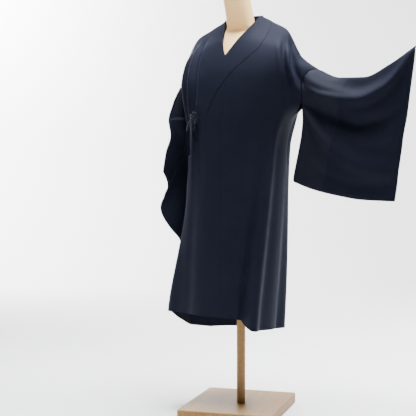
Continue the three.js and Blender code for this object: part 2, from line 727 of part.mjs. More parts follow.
// A flower knot of round cord: loops round a wrapped middle, and a tail to each tassel.
function tieKnot() {
  const { count, reach, radius, cord } = PETALS;
  const parts = [new THREE.SphereGeometry(8.5, 10, 6).scale(1, 1, 0.7)];
  for (let k = 0; k < count; k++) {
    const loop = new THREE.TorusGeometry(radius, cord, 5, 12);
    loop.scale(1.15, 0.62, 1).translate(reach, 0, k % 2 ? 1.2 : -0.8);
    parts.push(loop.rotateZ((2 * Math.PI * (k + 0.25)) / count));
  }
  for (const { shift, out, drop } of TASSELS) {
    const [across, down] = [shift, -drop - 1];
    const tail = new THREE.CylinderGeometry(2.2, 2.2, Math.hypot(across, down, out), 7);
    const way = vector(across, down, out).normalize();
    const turned = new THREE.Matrix4().makeRotationFromQuaternion(
      new THREE.Quaternion().setFromUnitVectors(vector(0, 1, 0), way));
    parts.push(tail.applyMatrix4(turned).translate(across / 2, down / 2, out / 2));
  }
  return geometryOf(parts.map(solidOf).reduce((a, b) => a.add(b))).applyMatrix4(tieFrame());
}

// A bound head with straight strands of unlike length below it.
function tassel({ shift, out, drop, head, length, strands, spread }) {
  const parts = [new THREE.CylinderGeometry(4.2, 5.4, head, 10).translate(0, -head / 2, 0)];
  for (let k = 0; k < strands; k++) {
    const angle = k * 137.5 * rad; // the golden angle spaces the roots evenly
    const reach = spread * Math.sqrt((k + 0.5) / strands);
    const [x, z] = [reach * Math.cos(angle), reach * Math.sin(angle)];
    const long = (length - head) * (0.9 + 0.1 * Math.cos(5 * k));
    const strand = new THREE.CylinderGeometry(0.5, 0.38, long + 2, 4, 1);
    strand.rotateZ(0.028 * x).rotateX(-0.028 * z);
    strand.translate(x * (1 + 0.012 * long), -head - long / 2 + 1, z * (1 + 0.012 * long));
    parts.push(strand);
  }
  const solid = parts.map(solidOf).reduce((a, b) => a.add(b));
  return geometryOf(solid).translate(shift, -drop - 4.4, out).applyMatrix4(tieFrame());
}

// -------------------------------------------------------- the dress form and its foot

const FORM = [
  { at: 690, wide: 60, front: 55, back: 55, y: 20 },
  { at: 694, wide: 122, front: 88, back: 92, y: 20 },
  { at: 712, wide: 142, front: 100, back: 104, y: 20 },
  { at: 780, wide: 150, front: 104, back: 110, y: 18 },
  { at: 860, wide: 144, front: 98, back: 104, y: 16 },
  { at: 950, wide: 132, front: 93, back: 96, y: 14 },
  { at: 1050, wide: 144, front: 104, back: 106, y: 15 },
  { at: 1110, wide: 158, front: 110, back: 112, y: 15 },
  { at: 1180, wide: 164, front: 98, back: 112, y: 18 },
  { at: 1240, wide: 166, front: 76, back: 90, y: 22 },
  { at: 1275, wide: 160, front: 60, back: 70, y: 24 },
  { at: 1300, wide: 128, front: 44, back: 50, y: 24 },
  { at: 1322, wide: 66, front: 28, back: 40, y: 21 },
  { at: 1343, wide: 51, front: 38, back: 42, y: 18 },
  { at: 1372, wide: 48, front: 44, back: 44, y: 11 },
  { at: 1410, wide: 46, front: 46, back: 46, y: -2 },
  { at: 1462, wide: 45, front: 45, back: 45, y: -19 },
  { at: 1470, wide: 40, front: 40, back: 40, y: -22 },
];

// A smooth closed skin through the rings of a table, with a flat bottom and top.
function formTorso() {
  const AROUND = 24;
  const heights = [];
  for (let i = 0; i < FORM.length - 1; i++) {
    heights.push(FORM[i].at);
    if (i > 1 && FORM[i + 1].at - FORM[i].at > 30) heights.push((FORM[i].at + FORM[i + 1].at) / 2);
  }
  heights.push(FORM.at(-1).at);
  const positions = [];
  for (const z of heights) {
    for (let j = 0; j < AROUND; j++) {
      const angle = (2 * Math.PI * j) / AROUND;
      const depth = read(FORM, Math.cos(angle) > 0 ? 'front' : 'back', z);
      positions.push(read(FORM, 'wide', z) * signedPower(Math.sin(angle), 0.92),
        read(FORM, 'y', z) - depth * signedPower(Math.cos(angle), 0.92), z);
    }
  }
  const index = [];
  for (let i = 0; i < heights.length - 1; i++) {
    for (let j = 0; j < AROUND; j++) {
      const [a, b] = [i * AROUND + j, i * AROUND + ((j + 1) % AROUND)];
      index.push(a, b, b + AROUND, a, b + AROUND, a + AROUND);
    }
  }
  const top = (heights.length - 1) * AROUND;
  for (let j = 1; j < AROUND - 1; j++) index.push(0, j + 1, j, top, top + j, top + j + 1);
  return outwardGeometry(positions, index);
}

function standPole() {
  const bottom = BOARD.height + SEAM;
  const height = FORM[0].at - SEAM - bottom;
  const pole = new THREE.CylinderGeometry(POLE.radius, POLE.radius, height, 20);
  return pole.rotateX(Math.PI / 2).translate(POLE.x, POLE.y, bottom + height / 2);
}

function standBoard() {
  const BEVEL = 2;
  const outline = new THREE.Shape();
  const [x, y, cut] = [BOARD.width / 2 - BEVEL, BOARD.depth / 2 - BEVEL, 6];
  outline.moveTo(-x + cut, -y).lineTo(x - cut, -y).lineTo(x, -y + cut).lineTo(x, y - cut);
  outline.lineTo(x - cut, y).lineTo(-x + cut, y).lineTo(-x, y - cut).lineTo(-x, -y + cut).closePath();
  const board = new THREE.ExtrudeGeometry(outline, {
    depth: BOARD.height - 2 * BEVEL, bevelEnabled: true, bevelThickness: BEVEL, bevelSize: BEVEL, bevelSegments: 1,
  });
  return board.translate(0, 0, BEVEL).rotateZ(BOARD.turn * rad).translate(BOARD.x, BOARD.y, 0);
}

// ------------------------------------------------------------------ the scene graph

const finish = (color, roughness, metalness = 0) =>
  new THREE.MeshStandardMaterial({ color, roughness, metalness, side: THREE.DoubleSide });
const SILK = () => finish(0x1d2230, 0.55);
const SILK_CORD = () => finish(0x14161f, 0.35);
const FORM_SKIN = () => finish(0xeedcb6, 0.6);
const LIGHT_WOOD = () => finish(0xcda66a, 0.55);

const coat = new THREE.Group();

function add(group, name, geometry, material) {
  const mesh = new THREE.Mesh(geometry, material);
  mesh.name = name;
  group.add(mesh);
}

const garment = new THREE.Group();
const stand = new THREE.Group();
coat.add(garment, stand);

for (const side of ['left', 'right']) {
  add(garment, `body_${side}`, bodyPanel(side), SILK());
  add(garment, `overlap_${side}`, overlapPanel(side), SILK());
  const panels = sleevePanels(side);
  add(garment, `sleeve_${side}_inner`, panels.inner, SILK());
  add(garment, `sleeve_${side}_outer`, panels.outer, SILK());
}
add(garment, 'collar', collar(), SILK());
add(garment, 'tie_knot', tieKnot(), SILK_CORD());
for (const row of TASSELS) add(garment, row.name, tassel(row), SILK_CORD());

add(stand, 'form_torso', formTorso(), FORM_SKIN());
add(stand, 'stand_pole', standPole(), LIGHT_WOOD());
add(stand, 'stand_board', standBoard(), LIGHT_WOOD());

export default coat;
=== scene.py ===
# %% [markdown]
# # A kimono coat on a dress form
# The real object is a dark silk coat with wide sleeves, worn by a limbless form. This
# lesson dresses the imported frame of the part: each solid of the cloth is swapped for a
# finer sheet that is worked out from the same cutting lines, and everything gets a
# finish built from nodes. Sizes are in millimetres, as on a cutting plan, until a mesh
# is made.

import json

import bpy
import numpy as np
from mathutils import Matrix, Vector

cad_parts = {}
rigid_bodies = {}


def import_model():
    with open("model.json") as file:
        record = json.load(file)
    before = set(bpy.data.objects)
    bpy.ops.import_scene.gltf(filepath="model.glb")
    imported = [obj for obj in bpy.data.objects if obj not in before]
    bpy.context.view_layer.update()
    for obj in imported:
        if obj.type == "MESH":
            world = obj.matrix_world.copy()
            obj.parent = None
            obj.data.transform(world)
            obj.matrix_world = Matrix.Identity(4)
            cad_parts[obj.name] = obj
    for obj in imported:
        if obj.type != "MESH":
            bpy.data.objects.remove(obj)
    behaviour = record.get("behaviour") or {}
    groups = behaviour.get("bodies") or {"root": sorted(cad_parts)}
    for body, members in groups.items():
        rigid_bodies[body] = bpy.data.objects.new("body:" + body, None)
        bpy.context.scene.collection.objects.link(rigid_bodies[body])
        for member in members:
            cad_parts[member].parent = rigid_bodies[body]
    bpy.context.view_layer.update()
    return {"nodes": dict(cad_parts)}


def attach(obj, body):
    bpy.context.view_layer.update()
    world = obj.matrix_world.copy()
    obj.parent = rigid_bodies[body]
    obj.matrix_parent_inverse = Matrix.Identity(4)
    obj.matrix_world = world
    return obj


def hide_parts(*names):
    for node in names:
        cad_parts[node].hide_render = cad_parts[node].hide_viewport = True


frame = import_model()
MM = 0.001
print("nodes in the frame:", len(frame["nodes"]))

# %% [markdown]
# ## Camera
# The view is from the wearer's front left, a little over hip height, through a long
# lens. The camera stands on a circle round the form's axis and is then turned a little
# aside and down, so that the held-out sleeve fits in the frame.

# %% Camera
IMAGE = 416  # pixels across the square picture
FOCAL_PIXELS = 986
CAMERA_REACH = 3.4
CAMERA_HEIGHT = 0.80
CAMERA_AZIMUTH = np.radians(33.5)
AXIS_RIGHT_OF_CENTRE = 30  # pixels from the picture's centre to the form's axis
HORIZON_OVER_CENTRE = 25  # pixels from the picture's centre up to eye level


def make_camera():
    """Place the camera and aim it: forward = toward the axis, less a share of right and up."""
    out = Vector((np.sin(CAMERA_AZIMUTH), -np.cos(CAMERA_AZIMUTH), 0))
    right = Vector((np.cos(CAMERA_AZIMUTH), np.sin(CAMERA_AZIMUTH), 0))
    up = Vector((0, 0, 1))
    aside, lower = AXIS_RIGHT_OF_CENTRE / FOCAL_PIXELS, HORIZON_OVER_CENTRE / FOCAL_PIXELS
    aim = -out - right * aside - up * lower
    data = bpy.data.cameras.new("camera")
    data.sensor_width = 36
    data.lens = FOCAL_PIXELS / IMAGE * data.sensor_width
    camera = bpy.data.objects.new("camera", data)
    camera.location = out * CAMERA_REACH + up * CAMERA_HEIGHT
    camera.rotation_euler = aim.to_track_quat("-Z", "Y").to_euler()
    bpy.context.scene.collection.objects.link(camera)
    bpy.context.scene.camera = camera


make_camera()

# %% [markdown]
# ## Reading the cutting tables
# A pattern maker writes a few sizes at a few places and draws a fair curve through
# them. `read` does the same: it is a cubic through the rows of a table that never
# overshoots, evaluated for a whole array of places at once.

# %% Fair curves through short tables


def cubic(at, value, key, *place):
    """A monotone cubic through the rows of value: the slope at a row is the harmonic mean
    of the steps on both sides, or 0 where they turn. Place picks a column for each key."""
    step = np.diff(value, axis=0) / np.diff(at).reshape(-1, *[1] * (value.ndim - 1))
    slope = np.empty_like(value)
    slope[0], slope[-1] = step[0], step[-1]
    before, after = step[:-1], step[1:]
    same = before * after > 0
    slope[1:-1] = np.where(same, 2 * before * after / np.where(same, before + after, 1), 0)
    i = np.clip(np.searchsorted(at, key, side="right") - 1, 0, len(at) - 2)
    low, high = (i, *place), (i + 1, *place)
    width = at[i + 1] - at[i]
    t = (key - at[i]) / width
    rise, m0, m1 = value[high] - value[low], slope[low] * width, slope[high] * width
    return value[low] + t * (m0 + t * (3 * rise - 2 * m0 - m1 + t * (m0 + m1 - 2 * rise)))


def read(rows, column, key):
    """The cubic through (at, column) of a table; a key past the ends is held."""
    at = np.array([row["at"] for row in rows], float)
    value = np.array([row[column] for row in rows], float)
    return cubic(at, value, np.clip(key, at[0], at[-1]))


def table(columns, *rows):
    """Rows of numbers as dictionaries with the named columns."""
    return [dict(zip(columns.split(), row)) for row in rows]


def smooth(t):
    """0 below 0, 1 above 1, and 3t^2 - 2t^3 between."""
    t = np.clip(t, 0, 1)
    return t * t * (3 - 2 * t)


def lerp(a, b, t):
    """a + (b - a) t"""
    return a + (b - a) * t


def power(x, p):
    """The sign of x times its size to the power p."""
    return np.sign(x) * np.abs(x) ** p


def unit(v):
    """Vectors of length 1 along the last axis."""
    return v / np.maximum(np.linalg.norm(v, axis=-1, keepdims=True), 1e-12)


# %% [markdown]
# ## The shape of the body
# A place on the body has a turn, in degrees round the wearer from the centre front
# toward the left, and a fall, from 0 on the shoulder line to 1 at the hem. Near the
# shoulder a ring keeps a share of the shoulder line's shape; lower down it is a
# rounded oval. Folds are soft ridges and valleys that run down and grow as they fall.

# %% Tables of the body
CLOTH = 1.6
COLLAR_THICK = 3.6
SEAM = 0.3
ARMHOLE_SEAM = {"left": 3, "right": 7.4}
LAP = 5
EDGE_LIFT = 4
COLLAR_END = 0.38
LAP_STEP = 0.387
TIP_FALL = 0.2
HEM_LEVEL = 351
ROUNDNESS = 0.87
UNDERARM = {"left": 0.27, "right": 0.34}
RING_CENTRE_Y = 15
SEAM_TURN = 0.055
CENTRE_TURN = 0.018
BACK_NECK_FALL = 0.034
NECK_RISE = 2.6
SIGN = {"left": 1, "right": -1}

SHOULDER = {
    "left": table(
        "at x y z",
        (0.0, 0, 36, 1380), (0.15, 70, 30, 1368), (0.3, 130, 24, 1341), (0.45, 186, 20, 1309),
        (0.6, 213, 20, 1262), (0.75, 236, 22, 1221), (0.88, 268, 26, 1193), (1.0, 300, 30, 1172),
    ),
    "right": table(
        "at x y z",
        (0.0, 0, 36, 1380), (0.15, 72, 28, 1360), (0.3, 130, 22, 1335), (0.45, 180, 16, 1309),
        (0.62, 207, 5, 1258), (0.82, 224, -8, 1192), (1.0, 235, -16, 1142),
    ),
}
RINGS = table(
    "at share level left right front back bow",
    (0.0, 1.0, 1150, 300, 235, 0, 0, 1.9),
    (0.035, 0.8, 1140, 282, 233, 40, 47, 1.8),
    (0.08, 0.62, 1125, 264, 230, 80, 86, 1.5),
    (0.14, 0.42, 1105, 248, 226, 108, 114, 1.25),
    (0.2, 0.27, 1083, 224, 219, 124, 131, 1.0),
    (0.27, 0.13, 1050, 205, 210, 132, 140, ROUNDNESS),
    (0.34, 0.04, 1008, 187, 200, 135, 139, ROUNDNESS),
    (0.42, 0.0, 935, 170, 196, 134, 131, ROUNDNESS),
    (0.6, 0.0, 755, 165, 198, 136, 128, ROUNDNESS),
    (0.8, 0.0, 552, 155, 208, 144, 129, ROUNDNESS),
    (1.0, 0.0, HEM_LEVEL, 139, 218, 154, 130, ROUNDNESS),
)
HEM = table(
    "at z",
    (-180, 282), (-130, 280), (-100, 286), (-80, 315), (-66, 350), (0, 351),
    (34, 345), (48, 312), (90, 305), (120, 300), (150, 288), (180, 282),
)
UNDERARM_PULL = {"left": (0.27, 16, 33), "right": (0.33, 17, 4)}  # fall, degrees across, out
FOLDS = table(
    "name top hem start wide out",
    ("side valley", 86, 38, 0.12, 7, -20),
    ("side crest", 92, 49.5, 0.12, 9, 40),
    ("left back valley", 100, 104, 0.35, 12, -14),
    ("left back crest", 130, 128, 0.25, 12, 13),
    ("back valley", 155, 160, 0.3, 11, -11),
    ("right back crest", -158, -152, 0.3, 11, 14),
    ("right back valley", -120, -124, 0.3, 10, -14),
    ("right side crest", -92, -96, 0.3, 12, 12),
    ("front corner flare", -50, -66, 0.6, 13, 44),
    ("soft fold from the tie", -22, -34, 0.34, 8, -6),
)

# %% Points of the body


def wrap_turn(turn):
    """The same direction between -180 and 180."""
    return (np.asarray(turn, float) + 180) % 360 - 180


def body_base(turn, fall):
    """Point of the unfolded body: x = half-width sin(across)^r and y = depth
    cos(across)^r, blended with the shoulder line's point by the ring's share."""
    turn, fall = np.broadcast_arrays(wrap_turn(turn), np.asarray(fall, float))
    left, in_front = turn >= 0, np.abs(turn) <= 90
    across = np.where(in_front, np.abs(turn), 180 - np.abs(turn))

    def shoulder(column):
        return np.where(left, read(SHOULDER["left"], column, across / 90),
                        read(SHOULDER["right"], column, across / 90))

    share = read(RINGS, "share", fall)
    half = np.where(left, read(RINGS, "left", fall), read(RINGS, "right", fall))
    deep = np.where(in_front, -read(RINGS, "front", fall), read(RINGS, "back", fall))
    x = half * power(np.sin(np.radians(across)), ROUNDNESS)
    bow = np.where(in_front, ROUNDNESS, read(RINGS, "bow", fall))
    y = deep * power(np.cos(np.radians(across)), bow)
    hem = (HEM_LEVEL - read(HEM, "z", turn)) * fall**2
    return np.stack([
        np.where(left, 1, -1) * lerp(x, shoulder("x"), share),
        lerp(RING_CENTRE_Y, shoulder("y"), share) + y,
        lerp(read(RINGS, "level", fall), shoulder("z"), share) - hem,
    ], -1)


def fold_line(fold, fall):
    """Turn of a fold at a fall: it closes on its turn at the hem as (1 - fall)^1.6."""
    return lerp(fold["hem"], fold["top"], np.maximum(0, 1 - fall) ** 1.6)


def fold_height(turn, fall):
    """Sum of the folds: each is out times a bell curve across it, and grows down it. The
    sleeves pull the cloth out where they hang at the underarm."""
    height = 0
    for side in ("left", "right"):
        level, across, out = UNDERARM_PULL[side]
        away = wrap_turn(turn - 90 * SIGN[side])
        below = np.where(fall > level, 0.05, 0.12)
        height = height + out * np.exp(-((away / across) ** 2) - ((fall - level) / below) ** 2)
    for fold in FOLDS:
        share = np.clip((fall - fold["start"]) / (1 - fold["start"]), 0, 1)
        grown = lerp(share, smooth(share), 0.55)
        away = wrap_turn(turn - fold_line(fold, fall))
        height = height + fold["out"] * grown * np.exp(-((away / fold["wide"]) ** 2))
    return height


def body_point(turn, fall, lift=0):
    """The unfolded body moved level and outward by its folds, then along its normal by lift."""
    turn, fall = np.broadcast_arrays(np.asarray(turn, float), np.asarray(fall, float))
    along = body_base(turn + 0.4, fall) - body_base(turn - 0.4, fall)
    out = unit(np.stack([along[..., 1], -along[..., 0], 0 * turn], -1))
    point = body_base(turn, fall) + out * fold_height(turn, fall)[..., None]
    if np.any(lift):
        point = point + body_normal(turn, fall) * np.asarray(lift)[..., None]
    return point


def surface_normal(surface, turn, fall, drop, aside):
    """Cross product of the steps down a surface and round it, over the shoulder too."""
    turn, fall = np.broadcast_arrays(np.asarray(turn, float), np.asarray(fall, float))
    top = fall <= drop
    mirrored = np.where(turn >= 0, 180, -180) - turn
    above = surface(np.where(top, mirrored, turn), np.where(top, drop, fall - drop))
    down = surface(turn, fall + drop) - above
    return unit(np.cross(down, surface(turn + aside, fall) - surface(turn - aside, fall)))


def body_normal(turn, fall):
    """The normal of the body's surface without its creases."""
    return surface_normal(body_point, turn, fall, 0.004, 0.5)


print("coat length at the centre back, mm:", round(1380 - 282))

# %% [markdown]
# ## Creases
# The solids hold the shape and the large folds. The creases that worn silk takes are
# added here: soft ridges and valleys, each on a line of its own, uneven in
# width and depth. They run from the held shoulders to the underarm and to the tie, and
# down the back. Every piece of the body takes them from the same place, so the lapped
# fronts and the collar bend together.

# %% Creases of the body


def crease(wide, *rows):
    """Half width in degrees of a crease, and the turn and depth of its line at each fall."""
    return wide, table("at turn out", *rows)


CREASES = {
    "left shoulder ridge": crease(4.2, (0.03, 49, 0), (0.066, 51.5, 8), (0.103, 57, 12),
        (0.144, 64.8, 12), (0.206, 77.8, 8), (0.27, 88, 0)),
    "valley outside it": crease(4.6, (0.004, 47, 0), (0.018, 50.5, -3), (0.06, 61.5, -10),
        (0.115, 70.5, -10), (0.172, 82, -5), (0.2, 88, 0)),
    "valley inside it": crease(4.0, (0.015, 40, 0), (0.041, 42.5, -4), (0.087, 51, -8),
        (0.133, 58, -8), (0.188, 69, -5), (0.272, 86, 0)),
    "faint left chest fold": crease(3.2, (0.05, 38, 0), (0.08, 42, 3), (0.11, 46, 4), (0.15, 51, 3),
        (0.2, 58, 0)),
    "right chest valley": crease(3.2, (0.02, -27.5, 0), (0.071, -27.8, -6), (0.199, -28.5, -9),
        (0.254, -29, -9), (0.3, -30.5, -6), (0.345, -32, 0)),
    "right chest ridge": crease(3.8, (0.02, -32, 0), (0.07, -33, 7), (0.184, -35.5, 11),
        (0.26, -39, 9), (0.32, -42, 5), (0.36, -44, 0)),
    "valley beside the arm": crease(3.6, (0.02, -37, 0), (0.06, -38, -4), (0.184, -42, -10),
        (0.26, -45.5, -10), (0.333, -49, -5), (0.38, -51, 0)),
    "right arm ridge": crease(5.0, (0.04, -46, 0), (0.1, -49, 5), (0.2, -53, 8), (0.3, -57, 5),
        (0.38, -60, 0)),
    "pull below the tie": crease(4.5, (0.345, -27, 0), (0.39, -24, -2.5), (0.46, -21, -2.5),
        (0.6, -18, 0)),
    "second pull below the tie": crease(4.0, (0.35, -33, 0), (0.4, -34, 3), (0.5, -36, 2),
        (0.62, -38, 0)),
    "left back yoke crease": crease(4.5, (0.04, 140, 0), (0.12, 143, -6), (0.25, 148, -10),
        (0.4, 153, -6), (0.52, 156, 0)),
    "right back yoke crease": crease(4.2, (0.04, -141, 0), (0.1, -143, -5), (0.22, -149, -9),
        (0.38, -153, -6), (0.5, -155, 0)),
    "left back ridge": crease(5.5, (0.06, 119, 0), (0.15, 122, 6), (0.3, 126, 10), (0.45, 127, 5),
        (0.58, 128, 0)),
    "right back side valley": crease(4.4, (0.05, -117, 0), (0.16, -121, -7), (0.3, -126, -9),
        (0.47, -129, 0)),
    "left back side valley": crease(4.0, (0.1, 104, 0), (0.2, 108, -7), (0.34, 112, -9),
        (0.52, 110, 0)),
    "centre back dip": crease(3.4, (0.1, 175, 0), (0.22, 172, -4), (0.4, 169, -5), (0.6, 172, 0)),
}


def crease_height(turn, fall):
    """Sum of the creases: each is its own depth times a bell curve across its line."""
    height = 0 * turn
    for wide, line in CREASES.values():
        away = wrap_turn(turn - read(line, "turn", fall))
        height = height + read(line, "out", fall) * np.exp(-((away / wide) ** 2))
    return height


def cloth_point(turn, fall, lift=0):
    """A point of the body's surface with its creases, along its normal."""
    turn, fall = np.broadcast_arrays(np.asarray(turn, float), np.asarray(fall, float))
    return body_point(turn, fall, lift + crease_height(turn, fall))


def cloth_normal(turn, fall):
    """The creased cloth's normal."""
    return surface_normal(cloth_point, turn, fall, 0.003, 0.35)


print("creases laid on the body:", len(CREASES))

# %% [markdown]
# ## Sheets of cloth
# Cloth is thin, but it has an edge that shows at hems and cuffs, so each sheet is a
# closed wall: the outer points, the inner points and a rim between them. The sheet's
# UV map runs in metres along the cloth, so a weave keeps its size in every piece.

# %% Walls from grids


def grid_normals(points, closed):
    """Cross product of the steps down and along a grid of points."""
    down = np.gradient(points, axis=0)
    if closed:
        along = np.roll(points, -1, 1) - np.roll(points, 1, 1)
    else:
        along = np.gradient(points, axis=1)
    return unit(np.cross(down, along))


def cloth_uv(points, closed):
    """Running lengths of the cloth in metres: u along the rows' middle, v down a column."""
    wrapped = np.concatenate([points, points[:, :1]], 1) if closed else points
    steps_u = np.linalg.norm(np.diff(wrapped, axis=1), axis=-1).mean(0)
    steps_v = np.linalg.norm(np.diff(wrapped, axis=0), axis=-1).mean(1)
    u = np.concatenate([[0], np.cumsum(steps_u)]) * MM
    v = np.concatenate([[0], np.cumsum(steps_v)]) * MM
    return np.stack(np.meshgrid(u, v), -1)


def make_mesh(name, points, faces, uv=None):
    """A mesh object from arrays in millimetres, with smooth faces and sharp rims."""
    mesh = bpy.data.meshes.new(name)
    mesh.vertices.add(len(points))
    mesh.vertices.foreach_set("co", (np.asarray(points) * MM).ravel())
    sizes = np.array([len(face) for face in faces])
    loops = np.concatenate(list(faces))
    mesh.loops.add(len(loops))
    mesh.loops.foreach_set("vertex_index", loops)
    mesh.polygons.add(len(sizes))
    mesh.polygons.foreach_set("loop_start", np.concatenate([[0], np.cumsum(sizes)[:-1]]))
    mesh.update(calc_edges=True)
    mesh.polygons.foreach_set("use_smooth", np.ones(len(sizes), bool))
    if uv is not None:
        mesh.uv_layers.new(name="cloth").data.foreach_set("uv", uv.ravel())
    mesh.validate()
    mesh.set_sharp_from_angle(angle=np.radians(50))
    piece = bpy.data.objects.new(name, mesh)
    bpy.context.scene.collection.objects.link(piece)
    return piece


def wall(name, points, thick, closed=False, normals=None):
    """A closed sheet: points moved by half the thickness both ways along the normals."""
    rows, columns = points.shape[:2]
    normals = grid_normals(points, closed) if normals is None else normals
    uv = cloth_uv(points, closed)
    skin = np.concatenate([(points + normals * thick / 2).reshape(-1, 3),
                           (points - normals * thick / 2).reshape(-1, 3)])
    last = columns if closed else columns - 1
    i, j = np.meshgrid(np.arange(rows - 1), np.arange(last), indexing="ij")
    i, j = i.ravel(), j.ravel()

    def at(i, j, layer):
        return layer * rows * columns + i * columns + j % columns

    def corner_uv(i, j):
        return uv[i, j]

    faces, maps = [], []

    def add(corners):
        faces.append(np.stack([at(*c) for c in corners], -1))
        maps.append(np.stack([corner_uv(c[0], c[1]) for c in corners], 1))

    add([(i, j, 0), (i + 1, j, 0), (i + 1, j + 1, 0), (i, j + 1, 0)])
    add([(i, j, 1), (i, j + 1, 1), (i + 1, j + 1, 1), (i + 1, j, 1)])
    edge = np.arange(last)
    first, end = np.zeros(last, int), np.full(last, rows - 1)
    add([(first, edge, 0), (first, edge + 1, 0), (first, edge + 1, 1), (first, edge, 1)])
    add([(end, edge, 0), (end, edge, 1), (end, edge + 1, 1), (end, edge + 1, 0)])
    if not closed:
        side = np.arange(rows - 1)
        zero, far = np.zeros(rows - 1, int), np.full(rows - 1, last)
        add([(side, zero, 0), (side, zero, 1), (side + 1, zero, 1), (side + 1, zero, 0)])
        add([(side, far, 0), (side + 1, far, 0), (side + 1, far, 1), (side, far, 1)])
    faces, maps = np.concatenate(faces), np.concatenate(maps)
    a, b, c = (skin[faces[:, k]] for k in (0, 1, 2))
    if (a * np.cross(b, c)).sum() < 0:
        faces, maps = faces[:, ::-1].copy(), maps[:, ::-1].copy()
    return make_mesh(name, skin, faces, maps)


def finer(values, times):
    """Each gap of a list of places parted into equal steps."""
    values = np.asarray(values, float)
    steps = np.linspace(0, 1, times, endpoint=False)
    inner = (values[:-1, None] + np.diff(values)[:, None] * steps).ravel()
    return np.append(inner, values[-1])


def tell_area(piece, points, cut, closed=False):
    """Print the area of the sheet that a grid of points spans, beside that of its cut."""
    grid = np.concatenate([points, points[:, :1]], 1) if closed else points
    a, b, c, d = grid[:-1, :-1], grid[1:, :-1], grid[1:, 1:], grid[:-1, 1:]
    area = float(np.linalg.norm(np.cross(c - a, b - d), axis=-1).sum() / 2) * MM**2
    print(piece.name, "area", round(area, 3), "of a cut of", round(cut, 3), "square metres")


# %% [markdown]
# ## The cutting lines
# The coat is cut from a narrow bolt: two body lengths that run over the shoulders
# without a seam, two wedges that let the fronts lap, four sleeve panels and a collar
# band. The same lines bound neighbouring pieces, so the seams stay shut.

# %% Lines between the pieces
COLLAR_LINES = table(
    "at seam edge",
    (0.0, 25, 13.5), (0.035, 26.5, 9.5), (0.08, 26, 5.5), (0.14, 17.5, -1),
    (0.2, 6.3, -10), (0.27, -3.6, -20.4), (0.34, -11.7, -30.5), (COLLAR_END, -14, -34),
)
OVERLAP_SEAM = table("at turn", (TIP_FALL, 7.6), (0.27, 3), (0.42, 1.5), (1.0, 6.5))
FRONT_EDGE = table(
    "at over under",
    (LAP_STEP, -34.6, -30), (0.42, -38.5, -30), (0.52, -47, -29), (0.64, -53, -27),
    (0.76, -58, -25), (0.88, -62, -23), (1.0, -66, -21),
)
OPENING = {
    "left": table("at half", (0, 0), (0.035, 5), (0.08, 9), (0.14, 10.5), (0.27, 3.5), (0.33, 0.02),
                  (1, 0.02)),
    "right": table("at half", (0, 0), (0.035, 1.5), (0.08, 6), (0.14, 10.5), (0.34, 10), (0.42, 6),
                   (0.48, 0.02), (1, 0.02)),
}
UPPER_FALLS = [0, 0.0175, 0.035, 0.0575, 0.08, 0.11, 0.14, 0.17]
LOWER_FALLS = [0.2, 0.235, 0.27, 0.305, 0.34, COLLAR_END, LAP_STEP, 0.42, 0.5, 0.6, 0.7, 0.8, 0.9, 1.0]
FINE = 5  # rows of the looks for each row of the solids
front_falls = finer(UPPER_FALLS + LOWER_FALLS, FINE)
neck_falls = np.append(BACK_NECK_FALL * np.sin(np.linspace(0, np.pi / 2, 14))[1:-1], BACK_NECK_FALL)
below_neck = finer([BACK_NECK_FALL + 0.004] + UPPER_FALLS[3:] + LOWER_FALLS, FINE)
back_falls = np.concatenate([neck_falls, below_neck])


def front_inner(fall):
    """Inner limit of a front body panel: the collar's seam, then the wedge's seam."""
    seam = read(COLLAR_LINES, "seam", fall)
    wedge = np.maximum(read(OVERLAP_SEAM, "turn", fall), seam + 1.2)
    return np.where(fall < TIP_FALL, seam, wedge) + SEAM_TURN


def back_inner(fall):
    """Inner limit of the back in degrees from its centre: a quarter oval at the neck."""
    inside = np.clip(1 - (fall / BACK_NECK_FALL) ** 2, 0, 1)
    return read(COLLAR_LINES, "seam", 0) * np.sqrt(inside) + CENTRE_TURN


def lap_lift(side, turn, fall):
    """The left front's free edge stands out; the right front lies behind the left one."""
    if side == "left":
        return EDGE_LIFT * smooth((-20 - turn) / 30)
    return -LAP * smooth((turn + 86) / 40) * smooth(fall / 0.06 + 0.15)


# %% [markdown]
# ## Silk
# The cloth is a dark navy silk with a fine cross-rib. Its weave is a pair of wave
# textures along the UV map, too fine to see from afar but alive close up; a little
# sheen gives the grey-blue bloom of silk seen at a slant. A lighter, greyer copy of the
# silk is painted sheen: its colour stands for the brighter cast of the inner sleeve panels.

# %% Finishes


def new_material(name, color, roughness):
    """A node material with its Principled shader and shortcuts to add nodes."""
    material = bpy.data.materials.new(name)
    material.use_nodes = True
    nodes, links = material.node_tree.nodes, material.node_tree.links
    shader = nodes["Principled BSDF"]
    shader.inputs["Base Color"].default_value = (*color, 1)
    shader.inputs["Roughness"].default_value = roughness

    def node(kind, **values):
        made = nodes.new(kind)
        for key, value in values.items():
            if key in made.inputs:
                made.inputs[key].default_value = value
            else:
                setattr(made, key, value)
        return made

    return material, shader, node, links.new


